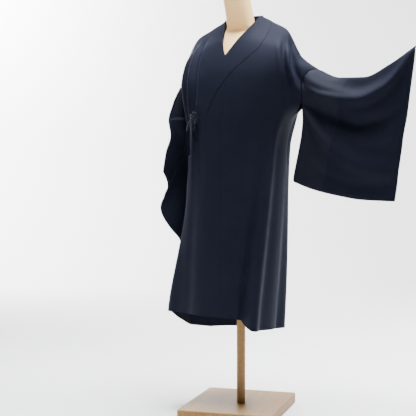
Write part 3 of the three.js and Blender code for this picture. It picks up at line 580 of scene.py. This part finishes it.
def silk_material(name, color, bloom, roughness=0.62):
    """Dark silk: noise for dye, two crossed waves for the weave, sheen for the bloom."""
    material, shader, node, link = new_material(name, color, roughness)
    shader.inputs["Sheen Weight"].default_value = 0.04
    shader.inputs["Sheen Roughness"].default_value = 0.45
    shader.inputs["Sheen Tint"].default_value = (*bloom, 1)
    shader.inputs["Specular IOR Level"].default_value = 0.05
    shader.inputs["Specular Tint"].default_value = (0.7, 0.8, 1, 1)
    place = node("ShaderNodeTexCoord")
    dye = node("ShaderNodeTexNoise", Scale=7.0, Detail=4.0, Roughness=0.6)
    link(place.outputs["Object"], dye.inputs["Vector"])
    shade = node("ShaderNodeValToRGB")
    shade.color_ramp.elements[0].color = (*[0.78 * c for c in color], 1)
    shade.color_ramp.elements[1].color = (*[1.25 * c for c in color], 1)
    link(dye.outputs["Fac"], shade.inputs["Fac"])
    link(shade.outputs["Color"], shader.inputs["Base Color"])
    ribs = node("ShaderNodeTexWave", bands_direction="Y", Scale=260.0, Distortion=0.6, Detail=1.0)
    yarns = node("ShaderNodeTexWave", bands_direction="X", Scale=420.0, Distortion=0.4, Detail=1.0)
    weave = node("ShaderNodeMath", operation="ADD")
    for wave, socket in ((ribs, 0), (yarns, 1)):
        link(place.outputs["UV"], wave.inputs["Vector"])
        link(wave.outputs["Fac"], weave.inputs[socket])
    bump = node("ShaderNodeBump", Strength=0.18, Distance=0.0002)
    link(weave.outputs["Value"], bump.inputs["Height"])
    slub = node("ShaderNodeBump", Strength=0.25, Distance=0.0012)
    cloud = node("ShaderNodeTexNoise", Scale=38.0, Detail=3.0)
    link(place.outputs["Object"], cloud.inputs["Vector"])
    link(cloud.outputs["Fac"], slub.inputs["Height"])
    link(bump.outputs["Normal"], slub.inputs["Normal"])
    link(slub.outputs["Normal"], shader.inputs["Normal"])
    return material


NAVY = (0.0056, 0.0062, 0.0120)
silk = silk_material("navy_silk", NAVY, (0.4, 0.5, 0.85))
# A lighter, greyer copy of the silk for the inner sleeve panels: painted sheen, the brighter cast those
# panels take in the light.
silk_painted_sheen = silk_material("navy_silk_painted_sheen", (0.0074, 0.0080, 0.0134), (0.6, 0.6, 0.85))


def dress(piece, node_name, material):
    """Give a piece its finish and body, and hide the solid that it stands for."""
    piece.data.materials.append(material)
    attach(piece, "root")
    if node_name:
        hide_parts(node_name)
    return piece


# %% [markdown]
# ## Body lengths and wedges
# Each body length starts at the front hem, runs up over the shoulder and down to the
# back hem. The wedge beside it widens the front from its tip at the collar, so that
# the left front reaches across to the wearer's right side.

# %% Body lengths
CROSSWISE = {"front": 34, "fold": 34, "side": 34}


def front_turns(side, fall):
    """Turns of a front panel's columns: even above, and drawn to the big fold's lines below."""
    inner, outer = front_inner(fall), 90 - read(OPENING[side], "half", fall)
    total = sum(CROSSWISE.values())
    even = lerp(inner[:, None], outer[:, None], np.linspace(0, 1, total + 1))
    if side == "right":
        return even
    valley, crest = FOLDS[0], FOLDS[1]
    lines = np.stack([inner, np.minimum(fold_line(valley, fall), 74),
                      np.minimum(fold_line(crest, fall), 82), outer], 1)
    counts = np.array(list(CROSSWISE.values()))
    steps = [np.linspace(0, 1, n, endpoint=False) for n in counts[:2]]
    steps.append(np.linspace(0, 1, counts[2] + 1))
    parts = [lerp(lines[:, k, None], lines[:, k + 1, None], step[None]) for k, step in enumerate(steps)]
    drawn = np.concatenate(parts, 1)
    return lerp(even, drawn, smooth((fall - 0.1) / 0.25)[:, None])


def body_length(side):
    """Rows from the front hem over the shoulder to the back hem, as points and normals."""
    sign = SIGN[side]
    fall = front_falls[::-1]
    turn = sign * front_turns(side, fall)
    front = (turn, np.broadcast_to(fall[:, None], turn.shape), lap_lift(side, turn, fall[:, None]))
    total = turn.shape[1]
    outer = 90 - read(OPENING[side], "half", back_falls)
    across = lerp(back_inner(back_falls)[:, None], outer[:, None], np.linspace(0, 1, total))
    turn = sign * (180 - across)
    back = (turn, np.broadcast_to(back_falls[:, None], turn.shape), np.zeros(turn.shape))
    turn, fall, lift = (np.concatenate(pair) for pair in zip(front, back))
    return cloth_point(turn, fall, lift), cloth_normal(turn, fall)


# What shows of a body length, in metres: a coat's usual back and front widths, over the shoulder.
BACK_WIDTH, FRONT_WIDTH, COAT_LENGTH = 0.30, 0.24, 1.08

for side in ("left", "right"):
    points, normals = body_length(side)
    sheet = wall(f"silk_body_{side}", points, CLOTH, normals=normals)
    piece = dress(sheet, f"body_{side}", silk)
    cut = (BACK_WIDTH + FRONT_WIDTH) * COAT_LENGTH
    tell_area(piece, points, cut)

# %% Wedges


def wedge(side):
    """Rows from the wedge's tip at the collar to the hem, between its seam and its edge."""
    fall = finer(LOWER_FALLS, FINE)
    inner = front_inner(fall) - 2 * SEAM_TURN
    edge = read(FRONT_EDGE, "over" if side == "left" else "under", fall)
    outer = np.where(fall <= COLLAR_END, read(COLLAR_LINES, "seam", fall) + SEAM_TURN, edge)
    turn = SIGN[side] * lerp(inner[:, None], outer[:, None], np.linspace(0, 1, 56))
    fall = np.broadcast_to(fall[:, None], turn.shape)
    return cloth_point(turn, fall, lap_lift(side, turn, fall)), cloth_normal(turn, fall)


# Width, length and share left by the taper to the tip; the right one is hidden and narrower.
WEDGE_CUTS = {"left": (0.20, 0.86, 0.8), "right": (0.10, 0.83, 0.8)}

for side in ("left", "right"):
    points, normals = wedge(side)
    sheet = wall(f"silk_wedge_{side}", points, CLOTH, normals=normals)
    piece = dress(sheet, f"overlap_{side}", silk)
    wide, long, share = WEDGE_CUTS[side]
    cut = wide * long * share
    tell_area(piece, points, cut)

# %% [markdown]
# ## Collar
# The collar is one long band, folded double, that lies flat down both fronts and
# stands up round the back of the neck.

# %% Collar band
COLLAR_CUT = (0.075, 1.35)  # metres
TUCK = {"from": 0.018, "below": 0.005, "shift": [0, -1.6, -1.8]}  # its foot goes behind the neckline
COLLAR_TOP = {"half": 70, "y": 30, "deep": 62, "side": 1368, "back": 1384}
COLLAR_BULGE = 5


def collar_grid():
    """Stations from the left end round the neck to the right end, across the band."""
    across = np.linspace(0, 1, 13)
    halves = []
    for side in ("left", "right"):
        sign = SIGN[side]
        fall = front_falls[front_falls <= COLLAR_END + 1e-9][::-1]
        low = np.where(fall > COLLAR_END - 1e-6, LAP_STEP - 0.0004, fall)[:, None]
        seam = read(COLLAR_LINES, "seam", fall)[:, None] - SEAM_TURN
        edge = read(COLLAR_LINES, "edge", fall)[:, None]
        turn = sign * lerp(seam, edge, across)
        front = cloth_point(turn, np.broadcast_to(low, turn.shape), lap_lift(side, turn, low))
        thick = lerp(CLOTH, COLLAR_THICK, smooth((LAP_STEP - low) / 0.03))
        angle = np.maximum(back_inner(neck_falls) - 2 * CENTRE_TURN, 0.5)
        tucked = smooth(neck_falls / TUCK["from"])[:, None]
        root = body_point(sign * (180 - angle), neck_falls + TUCK["below"] * tucked[:, 0])
        root = root + lerp(np.array([0, 0, NECK_RISE]), np.array(TUCK["shift"]), tucked)
        round_neck = 90 * np.sqrt(np.clip(1 - (neck_falls / BACK_NECK_FALL) ** 2, 0, 1))
        share = np.cos(np.radians(round_neck))
        tip = np.stack([
            sign * COLLAR_TOP["half"] * np.sin(np.radians(round_neck)),
            COLLAR_TOP["y"] + COLLAR_TOP["deep"] * share,
            lerp(COLLAR_TOP["side"], COLLAR_TOP["back"], share),
        ], -1)
        back = lerp(root[:, None], tip[:, None], across[:, None])
        back[..., 1] += COLLAR_BULGE * np.sin(np.pi * across)
        thick = np.append(thick, np.full(len(back), COLLAR_THICK))
        halves.append((np.concatenate([front, back]), thick))
    (left, thin_left), (right, thin_right) = halves
    return np.concatenate([left, right[:-1][::-1]]), np.append(thin_left, thin_right[:-1][::-1])


points, thick = collar_grid()
collar = dress(wall("silk_collar", points, thick[:, None, None]), "collar", silk)
tell_area(collar, points, COLLAR_CUT[0] * COLLAR_CUT[1])

# %% [markdown]
# ## Sleeves
# A sleeve is a flat bag of cloth. It hangs on a few lines from the armhole to the
# cuff; its two layers stand a little apart, and soft swags run across them where the
# weight pulls from the held corner.

# %% Tables of the sleeves
INNER_SHARE = 0.3
FREE_DROPS = 8
SLEEVE_FINE = 6  # steps of the looks for each column of the solids
SLEEVE_ROUND = 0.98  # metres, twice the sleeve's height
PANEL_WIDTH = {"inner": 0.102, "outer": 0.238}
FADE = {"left": 3.6, "right": 1.5}
SLEEVE_SHARES = [0, 0.08, 0.18, INNER_SHARE, 0.42, 0.54, 0.66, 0.78, 0.89, 1]
FIRST_FREE_DROP = {"left": 0.27, "right": 0.3}
SLEEVE_NET = {
    "left": {
        0: table("at x y z", (0, 300, 30, 1172), (0.2, 370, 42, 1143), (0.45, 450, 56, 1141),
                 (0.7, 530, 68, 1176), (1, 617, 80, 1232)),
        1: table("at x y z", (0, 200, 30, 806), (0.2, 262, 44, 781), (0.45, 349, 62, 759),
                 (0.7, 436, 80, 745), (1, 538, 100, 741)),
    },
    "right": {
        0: table("at x y z", (0, -235, -16, 1142), (0.15, -260, -28, 1082), (0.3, -274, -35, 1028),
                 (0.5, -261, -40, 968), (0.75, -274, -50, 911), (1, -284, -55, 843)),
        0.13: table("at x y z", (0, -230, 2, 1096), (0.3, -226, 0, 1022), (0.5, -246, 10, 950),
                    (0.75, -260, 0, 880), (1, -288, -20, 790)),
        0.3: table("at x y z", (0, -203, 14, 1008), (0.3, -226, 40, 950),
                   (0.65, -258, 10, 830), (1, -306, -40, 711)),
        0.55: table("at x y z", (0, -242, 88, 905), (0.3, -240, 75, 835),
                    (0.65, -256, 35, 715), (1, -258, 4, 598)),
        1: table("at x y z", (0, -238, 250, 792), (0.3, -244, 248, 692),
                 (0.65, -250, 224, 586), (1, -252, 190, 490)),
    },
}
GATHERED = 13  # how far the outer panel of the right sleeve bulges over its seam
SLEEVE_GAP = {
    "left": table("at gap", (0, 44), (0.3, 34), (0.7, 24), (1, 16)),
    "right": table("at gap", (0, 34), (0.3, 24), (0.7, 20), (1, 14)),
}


def swag(above, below, *rows):
    """Widths of a swag above and below its line, and the line's drop and depth at each share."""
    return above, below, table("at drop out", *rows)


SWAGS = {
    "left": {
        "first swag": swag(0.075, 0.042, (0, 0.1, 0), (0.1, 0.165, 16), (0.3, 0.19, 26),
            (0.5, 0.185, 28), (0.7, 0.175, 22), (0.9, 0.09, 10), (1, 0.02, 4)),
        "first hollow": swag(0.06, 0.09, (0, 0.2, 0), (0.1, 0.27, -12), (0.25, 0.32, -20),
            (0.5, 0.4, -24), (0.8, 0.42, -13), (1, 0.4, -3)),
        "second swag": swag(0.09, 0.062, (0, 0.3, 0), (0.1, 0.4, 14), (0.2, 0.53, 17),
            (0.4, 0.65, 18), (0.6, 0.73, 15), (0.9, 0.79, 8), (1, 0.8, 3)),
        "pull from the underarm": swag(0.03, 0.03, (0, 0.26, 0), (0.08, 0.31, -6), (0.2, 0.43, -7),
            (0.32, 0.56, -4), (0.48, 0.7, 0)),
        "small pull": swag(0.022, 0.03, (0.02, 0.33, 0), (0.12, 0.47, 5), (0.22, 0.66, 4),
            (0.34, 0.82, 0)),
        "edge ripple": swag(0.03, 0.04, (0.5, 0.56, 0), (0.7, 0.6, 5), (0.88, 0.6, 6),
            (1, 0.58, 4)),
        "lower hollow": swag(0.05, 0.075, (0, 0.8, 0), (0.3, 0.85, -7), (0.7, 0.9, -8),
            (1, 0.9, -3)),
    },
    "right": {
        "hanging crease": swag(0.03, 0.04, (0, 0.2, 0), (0.2, 0.22, -7), (0.5, 0.25, -6),
            (0.85, 0.22, 0)),
        "back crease": swag(0.04, 0.03, (0.05, 0.64, 0), (0.3, 0.66, -7), (0.6, 0.64, -6),
            (1, 0.6, -2)),
        "upper fold": swag(0.05, 0.05, (0, 0.08, 0), (0.3, 0.08, 5), (0.7, 0.07, 6), (1, 0.06, 2)),
        "middle hollow": swag(0.07, 0.07, (0, 0.3, 0), (0.4, 0.36, -9), (1, 0.32, -4)),
        "middle fold": swag(0.09, 0.09, (0, 0.55, 0), (0.4, 0.54, 15), (1, 0.52, 6)),
        "lower hollow": swag(0.08, 0.08, (0, 0.74, 0), (0.5, 0.76, -11), (1, 0.74, -4)),
    },
}


def sleeve_middle(side, share, drop):
    """Place midway between a sleeve's two layers."""
    share, drop = np.broadcast_arrays(np.asarray(share, float), np.asarray(drop, float))
    flat_share, flat_drop = share.ravel(), drop.ravel()
    drops = np.array(list(SLEEVE_NET[side]), float)
    column = np.arange(flat_drop.size)
    lines = SLEEVE_NET[side].values()
    columns = [cubic(drops, np.stack([read(line, c, flat_share) for line in lines]), flat_drop, column)
               for c in "xyz"]
    return np.stack(columns, -1).reshape(*share.shape, 3)


def sleeve_face(side, share, drop):
    """The way from the middle to the front layer: across the cloth's two directions."""
    p, q = np.minimum(share, 0.94), np.clip(drop, 0.06, 0.94)
    along = sleeve_middle(side, p + 0.05, q) - sleeve_middle(side, p - 0.05, q)
    down = sleeve_middle(side, p, q + 0.05) - sleeve_middle(side, p, q - 0.05)
    return unit(np.cross(along, down)) * (-1 if side == "left" else 1)


def sleeve_point(side, share, drop, layer):
    """The middle moved out by the swags, then half the gap to its layer. A swag's bell
    curve has a width above its line and another below. The gap closes round both
    folds, and along the lower part of the cuff, which is sewn shut."""
    share, drop, layer = np.broadcast_arrays(share, drop, layer)
    sewn = 1 - smooth((share - 0.86) / 0.12) * smooth((drop - 0.46) / 0.08)
    round_off = np.sqrt(np.clip(1 - (2 * drop - 1) ** 4, 0, 1))
    out = layer * read(SLEEVE_GAP[side], "gap", share) / 2 * round_off * lerp(0.14, 1, sewn)
    if side == "right":  # the outer panel of this sleeve is gathered up over the seam
        over = smooth((share - INNER_SHARE) / 0.02) * (1 - smooth((share - 0.34) / 0.28))
        over = over * (1 - smooth((drop - 0.2) / 0.2)) * (layer > 0)
        out = out + GATHERED * over * np.minimum(1, 2.5 * round_off)
    for above, below, line in SWAGS[side].values():
        away = drop - read(line, "drop", share)
        bell = np.exp(-((away / np.where(away < 0, above, below)) ** 2))
        out = out + read(line, "out", share) * bell * np.minimum(1, 6 * round_off**2)
    return sleeve_middle(side, share, drop) + sleeve_face(side, share, drop) * out[..., None]


# %% Rings of the sleeves


def ring_places(side):
    """Falls (or nan), drops and layers of a ring: down the front layer, up the back one."""
    last = FIRST_FREE_DROP[side]
    armhole = front_falls[front_falls <= UNDERARM[side] + 1e-9]
    free = finer(np.linspace(last, 1, FREE_DROPS + 1), FINE)[1:]
    fall = np.concatenate([armhole, np.full(len(free), np.nan)])
    drop = np.concatenate([last * armhole / UNDERARM[side], free])
    back = slice(-2, 0, -1)
    layer = np.concatenate([np.ones(len(drop)), -np.ones(len(drop) - 2)])
    return np.concatenate([fall, fall[back]]), np.concatenate([drop, drop[back]]), layer


def sleeve_grid(side):
    """Rings from the armhole to the cuff, drawn to the armhole's edge where they are sewn."""
    fall, drop, layer = ring_places(side)
    share = finer(SLEEVE_SHARES, SLEEVE_FINE)[:, None]
    free = sleeve_point(side, share, drop[None], layer[None])
    at_armhole = sleeve_point(side, np.zeros((1, 1)), drop[None], layer[None])[0]
    sewn = ~np.isnan(fall)
    known = np.where(sewn, fall, UNDERARM[side])
    turn = SIGN[side] * (90 - layer * read(OPENING[side], "half", known))
    edge = cloth_point(turn, known, lap_lift(side, turn, known))
    last = FIRST_FREE_DROP[side]
    end = sleeve_point(side, np.zeros(2), np.full(2, last), np.array([1.0, -1.0]))
    loose = np.where(layer[:, None] > 0, end[0], end[1])
    pull = edge - np.where(sewn[:, None], at_armhole, loose)
    fade = np.where(sewn, 1, np.clip((1 - drop) / (1 - last), 0, 1) ** FADE[side])
    held = 1 - smooth((share - 0.08) / 0.34)
    rings = free + pull * fade[:, None] * held[..., None]
    rings[0] += unit(rings[1] - rings[0]) * ARMHOLE_SEAM[side]
    return rings


for side in ("left", "right"):
    rings = sleeve_grid(side)
    normals = grid_normals(rings, True)
    seam_row = SLEEVE_SHARES.index(INNER_SHARE) * SLEEVE_FINE
    inner, outer = slice(None, seam_row + 1), slice(seam_row, None)
    for part, rows, toward in (("inner", inner, -1), ("outer", outer, 1)):
        points = rings[rows].copy()
        edge_row = -1 if part == "inner" else 0
        away = unit(rings[seam_row + toward] - rings[seam_row])
        points[edge_row] += away * SEAM / 2
        piece = wall(f"silk_sleeve_{side}_{part}", points, CLOTH, closed=True, normals=normals[rows])
        # The inner panels take the lighter copy of the silk, whose colour is painted sheen.
        dress(piece, f"sleeve_{side}_{part}", silk_painted_sheen if part == "inner" else silk)
        flat = (SLEEVE_ROUND, PANEL_WIDTH[part])
        tell_area(piece, points, flat[0] * flat[1], closed=True)

# %% [markdown]
# ## Tie and tassels
# The fronts are held by a flower knot of fine cord at the wearer's right: eight double
# loops round a wrapped middle. Two tassels hang from it on short cords. Every cord is a
# tube drawn along a path, and a tassel is a bound head with many fine strands.

# %% Tubes along paths
TIE = {"turn": -27, "fall": 0.341, "lift": 8.5}
PETALS = {"count": 8, "reach": 14.5, "radius": 7.4, "cord": 1.9}
TASSELS = table(
    "name shift out drop head length strands spread",
    ("tassel_long", -21, 9, 22, 16, 104, 190, 4.6),
    ("tassel_short", 11, 3, 24, 13, 52, 170, 4.2),
)
chance = np.random.default_rng(7)


def tie_frame():
    """The tie's middle and its directions: along the cloth to the left, up, and out."""
    out = body_normal(TIE["turn"], TIE["fall"]) * [1, 1, 0]
    out = unit(out)
    along = np.array([-out[1], out[0], 0])
    middle = body_point(TIE["turn"], TIE["fall"], np.float64(TIE["lift"]))
    return middle, np.stack([along, [0, 0, 1], out])


def tubes(paths, radii, sides, closed=False, axis=(0, 0, 1)):
    """Round tubes along paths (tube, step, xyz): a ring lies square to the path's tangent,
    turned from a fixed axis. Returns points, faces and a UV in turns and millimetres."""
    paths = np.asarray(paths, float)
    count, steps = paths.shape[:2]
    if closed:
        tangent = unit(np.roll(paths, -1, 1) - np.roll(paths, 1, 1))
    else:
        tangent = unit(np.gradient(paths, axis=1))
    side = unit(np.cross(tangent, axis))
    up = np.cross(side, tangent)
    angle = 2 * np.pi * np.arange(sides) / sides
    ring = side[:, :, None] * np.cos(angle)[:, None] + up[:, :, None] * np.sin(angle)[:, None]
    radii = np.broadcast_to(np.asarray(radii, float), (count, steps))
    points = paths[:, :, None] + ring * radii[:, :, None, None]
    gaps = steps if closed else steps - 1
    places = np.meshgrid(np.arange(count), np.arange(gaps), np.arange(sides), indexing="ij")
    tube, i, j = (k.ravel() for k in places)

    def at(i, j):
        return (tube * steps + i % steps) * sides + j % sides

    faces = np.stack([at(i, j), at(i + 1, j), at(i + 1, j + 1), at(i, j + 1)], -1)
    length = np.linalg.norm(np.diff(paths, axis=1), axis=-1).mean()
    corners = np.stack([np.stack([(j + dj) / sides, (i + di) * length * 0.1], -1)
                        for di, dj in ((0, 0), (1, 0), (1, 1), (0, 1))], 1)
    if not closed:
        tube, end = np.arange(count), np.arange(sides)
        caps = [(tube * steps)[:, None] * sides + end,
                ((tube * steps + steps - 1)[:, None] * sides + end)[:, ::-1]]
    else:
        caps = []
    return points.reshape(-1, 3), faces, corners, caps


def joined(name, parts, middle, axes):
    """One mesh of several sets of tubes, moved from the tie's directions to the world."""
    points, faces, maps, start = [], [], [], 0
    for p, f, uv, caps in parts:
        points.append(p)
        faces += [*(f + start)]
        maps += [*uv]
        for cap in caps:
            faces += [*(cap + start)]
            maps += [np.zeros((cap.shape[1], 2))] * len(cap)
        start += len(p)
    return make_mesh(name, middle + np.concatenate(points) @ axes, faces, np.concatenate(maps))


# %% Flower knot and tassels


def petal_paths():
    """Double loops: a loop is an oval beside the middle, and its two cords lie side by side."""
    t = 2 * np.pi * np.linspace(0, 1, 48, endpoint=False)
    paths = []
    for k in range(PETALS["count"]):
        for inset in (0, 2.1):
            long, short = PETALS["radius"] * 1.15 - inset, PETALS["radius"] * 0.66 - inset * 0.9
            x = PETALS["reach"] + long * np.cos(t)
            y = short * np.sin(t) * (1 + 0.22 * np.cos(t))
            lift = (1.2 if k % 2 else -0.8) + 1.6 * np.sin(t) * np.cos(t / 2) - 0.05 * (x - 14) ** 2 / 6
            turn = 2 * np.pi * (k + 0.25) / PETALS["count"] + 0.05 * np.sin(5.0 * k)
            cosine, sine = np.cos(turn), np.sin(turn)
            paths.append(np.stack([x * cosine - y * sine, x * sine + y * cosine, lift], -1))
    return np.array(paths)


def wrap_path():
    """The cord wound over the middle: turns of a helix on a ball, and a ring round them."""
    t = np.linspace(0, 1, 150)
    x = lerp(-5.6, 5.6, t)
    reach = 6.6 * np.sqrt(np.clip(1 - (x / 7.4) ** 2, 0, 1))
    wound = np.stack([x, reach * np.cos(12 * np.pi * t), 0.8 * reach * np.sin(12 * np.pi * t)], -1)
    turn = 2 * np.pi * np.linspace(0, 1, 150)
    ring = np.stack([7.6 * np.cos(turn), 7.2 * np.sin(turn), 3.4 + 0.9 * np.sin(6 * turn)], -1)
    return np.array([wound, ring])


def tail_path(row):
    """The short cord from the knot to a tassel's head: a soft bend that ends straight down."""
    t = np.linspace(0, 1, 24)[:, None]
    start, end = np.array([0, -4, 1.0]), np.array([row["shift"], -row["drop"] - 5, row["out"]])
    bend = np.array([row["shift"] * 0.9, -6.0, row["out"] + 2])
    return (1 - t) ** 2 * start + 2 * t * (1 - t) * bend + t**2 * end


cord, cord_shader, node, link = new_material("silk_cord", (0.0020, 0.0028, 0.0065), 0.36)
cord_shader.inputs["Specular IOR Level"].default_value = 0.26
cord_shader.inputs["Specular Tint"].default_value = (0.6, 0.75, 1, 1)
cord_shader.inputs["Sheen Weight"].default_value = 0.005
place = node("ShaderNodeTexCoord")
braid = node("ShaderNodeTexWave", Scale=3.4, Distortion=0.4, bands_direction="DIAGONAL")
bump = node("ShaderNodeBump", Strength=0.6, Distance=0.0004)
link(place.outputs["UV"], braid.inputs["Vector"])
link(braid.outputs["Fac"], bump.inputs["Height"])
link(bump.outputs["Normal"], cord_shader.inputs["Normal"])

middle, axes = tie_frame()
knot_parts = [
    tubes(petal_paths(), 1.05, 8, closed=True),
    tubes(wrap_path(), 1.15, 7, axis=(1, 0.2, 0.1)),
    tubes([tail_path(row) for row in TASSELS], 1.5, 8),
]
knot = dress(joined("cord_knot", knot_parts, middle, axes), "tie_knot", cord)
print("knot faces:", len(knot.data.polygons))


def tassel(row):
    """Strands on a sunflower's spiral below a bound head, uneven in length and slightly waved."""
    count, head = row["strands"], row["head"]
    k = np.arange(count)
    angle = np.radians(137.5) * k
    reach = row["spread"] * np.sqrt((k + 0.5) / count)
    long = (row["length"] - head) * chance.uniform(0.86, 1.0, count)
    t = np.linspace(0, 1, 9)
    flare = 1 + 0.5 * t[None] ** 1.4 + chance.normal(0, 0.05, (count, 1)) * t
    wave = 0.7 * np.sin(6 * t[None] + chance.uniform(0, 6, (count, 1))) * t
    x = (reach * np.cos(angle))[:, None] * flare + wave
    z = (reach * np.sin(angle))[:, None] * flare + wave[::-1]
    y = -head + 2 - long[:, None] * t
    strands = tubes(np.stack([x, y, z], -1), np.linspace(0.42, 0.3, 9), 4)
    turns = np.linspace(0, 1, 340)
    wound = 2 * np.pi * 15 * turns
    bell = lerp(4.2, 5.3, turns) + 0.35 * np.sin(3 * np.pi * turns)
    binding = np.stack([bell * np.cos(wound), -1 - (head - 2) * turns, bell * np.sin(wound)], -1)
    core = np.stack([0 * t, lerp(0, -head, t), 0 * t], -1)
    parts = [strands, tubes([binding], 0.62, 5, axis=(0, 1, 0)), tubes([core], lerp(3.4, 4.9, t), 12)]
    top = np.array([row["shift"], -row["drop"] - 4.4, row["out"]])
    piece = joined("silk_" + row["name"], parts, middle + top @ axes, axes)
    return dress(piece, row["name"], cord)


for row in TASSELS:
    piece = tassel(row)
    print(piece.name, "strands:", row["strands"], "faces:", len(piece.data.polygons))

# %% [markdown]
# ## Form, pole and board
# The form is a smooth padded torso with a plain neck. It stands on a wooden pole in a
# wooden board.

# %% Cream cover
cream, cream_shader, node, link = new_material("cream_cover", (0.98, 0.62, 0.25), 0.6)
place = node("ShaderNodeTexCoord")
jersey = node("ShaderNodeTexNoise", Scale=420.0, Detail=2.0)
bump = node("ShaderNodeBump", Strength=0.15, Distance=0.0006)
link(place.outputs["Object"], jersey.inputs["Vector"])
link(jersey.outputs["Fac"], bump.inputs["Height"])
link(bump.outputs["Normal"], cream_shader.inputs["Normal"])


FORM = table(
    "at wide front back y",
    (690, 60, 55, 55, 20), (694, 122, 88, 92, 20), (712, 142, 100, 104, 20), (780, 150, 104, 110, 18),
    (860, 144, 98, 104, 16), (950, 132, 93, 96, 14), (1050, 144, 104, 106, 15),
    (1110, 158, 110, 112, 15),
    (1180, 164, 98, 112, 18), (1240, 166, 76, 90, 22), (1275, 160, 60, 70, 24), (1300, 128, 44, 50, 24),
    (1322, 66, 28, 40, 21), (1343, 51, 38, 42, 18), (1372, 48, 44, 44, 11), (1410, 46, 46, 46, -2),
    (1462, 45, 45, 45, -19), (1470, 40, 40, 40, -22),
)


def torso_mesh():
    """Rounded ovals up the form, closed above and below: x = wide sin^0.92 and y = middle
    - depth cos^0.92."""
    level = finer([row["at"] for row in FORM], 7)[:, None]
    angle = np.linspace(0, 2 * np.pi, 96, endpoint=False)
    sine, cosine = power(np.sin(angle), 0.92), power(np.cos(angle), 0.92)
    depth = np.where(cosine > 0, read(FORM, "front", level), read(FORM, "back", level))
    x = read(FORM, "wide", level) * sine
    y = read(FORM, "y", level) - depth * cosine
    points = np.stack([x, y, np.broadcast_to(level, x.shape)], -1)
    rows, columns = x.shape
    i, j = (k.ravel() for k in np.meshgrid(np.arange(rows - 1), np.arange(columns), indexing="ij"))
    after = (j + 1) % columns
    low, high = i * columns, (i + 1) * columns
    sides = np.stack([low + j, low + after, high + after, high + j], -1)
    ends = [np.arange(columns)[::-1], np.arange(columns) + (rows - 1) * columns]
    return make_mesh("cream_torso", points.reshape(-1, 3), [*sides, *ends])


torso = dress(torso_mesh(), "form_torso", cream)
print("torso faces:", len(torso.data.polygons))

# %% Light wood


def wood_material(name, light, dark, turn):
    """Light wood: noise drawn out along the grain, which lies on Y once it is turned back."""
    material, shader, node, link = new_material(name, light, 0.5)
    place = node("ShaderNodeTexCoord")
    stretch = node("ShaderNodeMapping")
    stretch.vector_type = "TEXTURE"
    stretch.inputs["Rotation"].default_value = (0, 0, np.radians(turn))
    stretch.inputs["Scale"].default_value = (0.011, 0.3, 0.011)
    bands = node("ShaderNodeTexNoise", Scale=1.0, Detail=5.0, Roughness=0.6, Distortion=0.5)
    ramp = node("ShaderNodeValToRGB")
    ramp.color_ramp.elements[0].color = (*dark, 1)
    ramp.color_ramp.elements[0].position = 0.3
    ramp.color_ramp.elements[1].color = (*light, 1)
    ramp.color_ramp.elements[1].position = 0.68
    bump = node("ShaderNodeBump", Strength=0.1, Distance=0.0003)
    link(place.outputs["Object"], stretch.inputs["Vector"])
    link(stretch.outputs["Vector"], bands.inputs["Vector"])
    link(bands.outputs["Fac"], ramp.inputs["Fac"])
    link(ramp.outputs["Color"], shader.inputs["Base Color"])
    link(bands.outputs["Fac"], bump.inputs["Height"])
    link(bump.outputs["Normal"], shader.inputs["Normal"])
    return material


board_wood = wood_material("light_board_wood", (0.25, 0.125, 0.017), (0.18, 0.078, 0.009), 18.5)
for name, material in (("stand_pole", board_wood), ("stand_board", board_wood)):
    node_object = frame["nodes"][name]
    node_object.data.materials.clear()
    node_object.data.materials.append(material)

# %% [markdown]
# ## Floor and light
# A pale floor curves up into a backdrop, which has two lamps of its own. A broad light
# from above gives the shoulders and sleeves their bloom, one from the upper left lights
# the chest, and a weak one from the right keeps the side readable.

# %% Studio


def backdrop():
    """A sheet that lies on the floor and curves up behind, as a quarter circle."""
    bend, far, wide, high = 1.2, 4.0, 14.0, 6.0
    angle = np.linspace(0, np.pi / 2, 24)
    away = np.concatenate([[-8.0], far + bend * np.sin(angle), [far + bend]])
    rise = np.concatenate([[0.0], bend * (1 - np.cos(angle)), [high]])
    turn = CAMERA_AZIMUTH
    back = np.array([-np.sin(turn), np.cos(turn), 0])
    side = np.array([np.cos(turn), np.sin(turn), 0])
    rows = back * away[:, None] + np.array([0, 0, 1.0]) * rise[:, None]
    points = np.stack([rows - side * wide, rows + side * wide], 1).reshape(-1, 3)
    i = np.arange(len(rows) - 1)
    faces = np.stack([2 * i, 2 * i + 1, 2 * i + 3, 2 * i + 2], -1)
    piece = make_mesh("backdrop", points / MM, faces)
    piece.data.materials.append(new_material("pale_paper", (0.93, 0.93, 0.92), 0.9)[0])


def area_light(name, place, aim, size, energy, color=(1, 1, 1)):
    """A square lamp that faces its aim."""
    data = bpy.data.lights.new(name, "AREA")
    data.size, data.energy, data.color = size, energy, color
    lamp = bpy.data.objects.new(name, data)
    lamp.location = place
    lamp.rotation_euler = (Vector(aim) - Vector(place)).to_track_quat("-Z", "Y").to_euler()
    bpy.context.scene.collection.objects.link(lamp)


backdrop()
area_light("overhead", (0.4, -0.05, 3.1), (0.1, 0, 1.0), 1.8, 400, (0.95, 0.97, 1))
area_light("right_window", (3.2, -0.7, 2.4), (0.1, 0, 0.9), 2.0, 9, (0.9, 0.94, 1))
area_light("left_window", (-1.6, -1.2, 3.4), (-0.1, 0, 1.2), 1.6, 48, (0.95, 0.96, 1))
for name, x, energy in (("backdrop_left", -4.6, 640), ("backdrop_right", 1.4, 360)):
    area_light(name, (x, 1.6, 3.0), (x - 1.0, 5.0, 1.2), 2.2, energy)
world = bpy.data.worlds.new("studio")
world.use_nodes = True
world.node_tree.nodes["Background"].inputs["Color"].default_value = (0.93, 0.95, 1, 1)
world.node_tree.nodes["Background"].inputs["Strength"].default_value = 0.085
bpy.context.scene.world = world
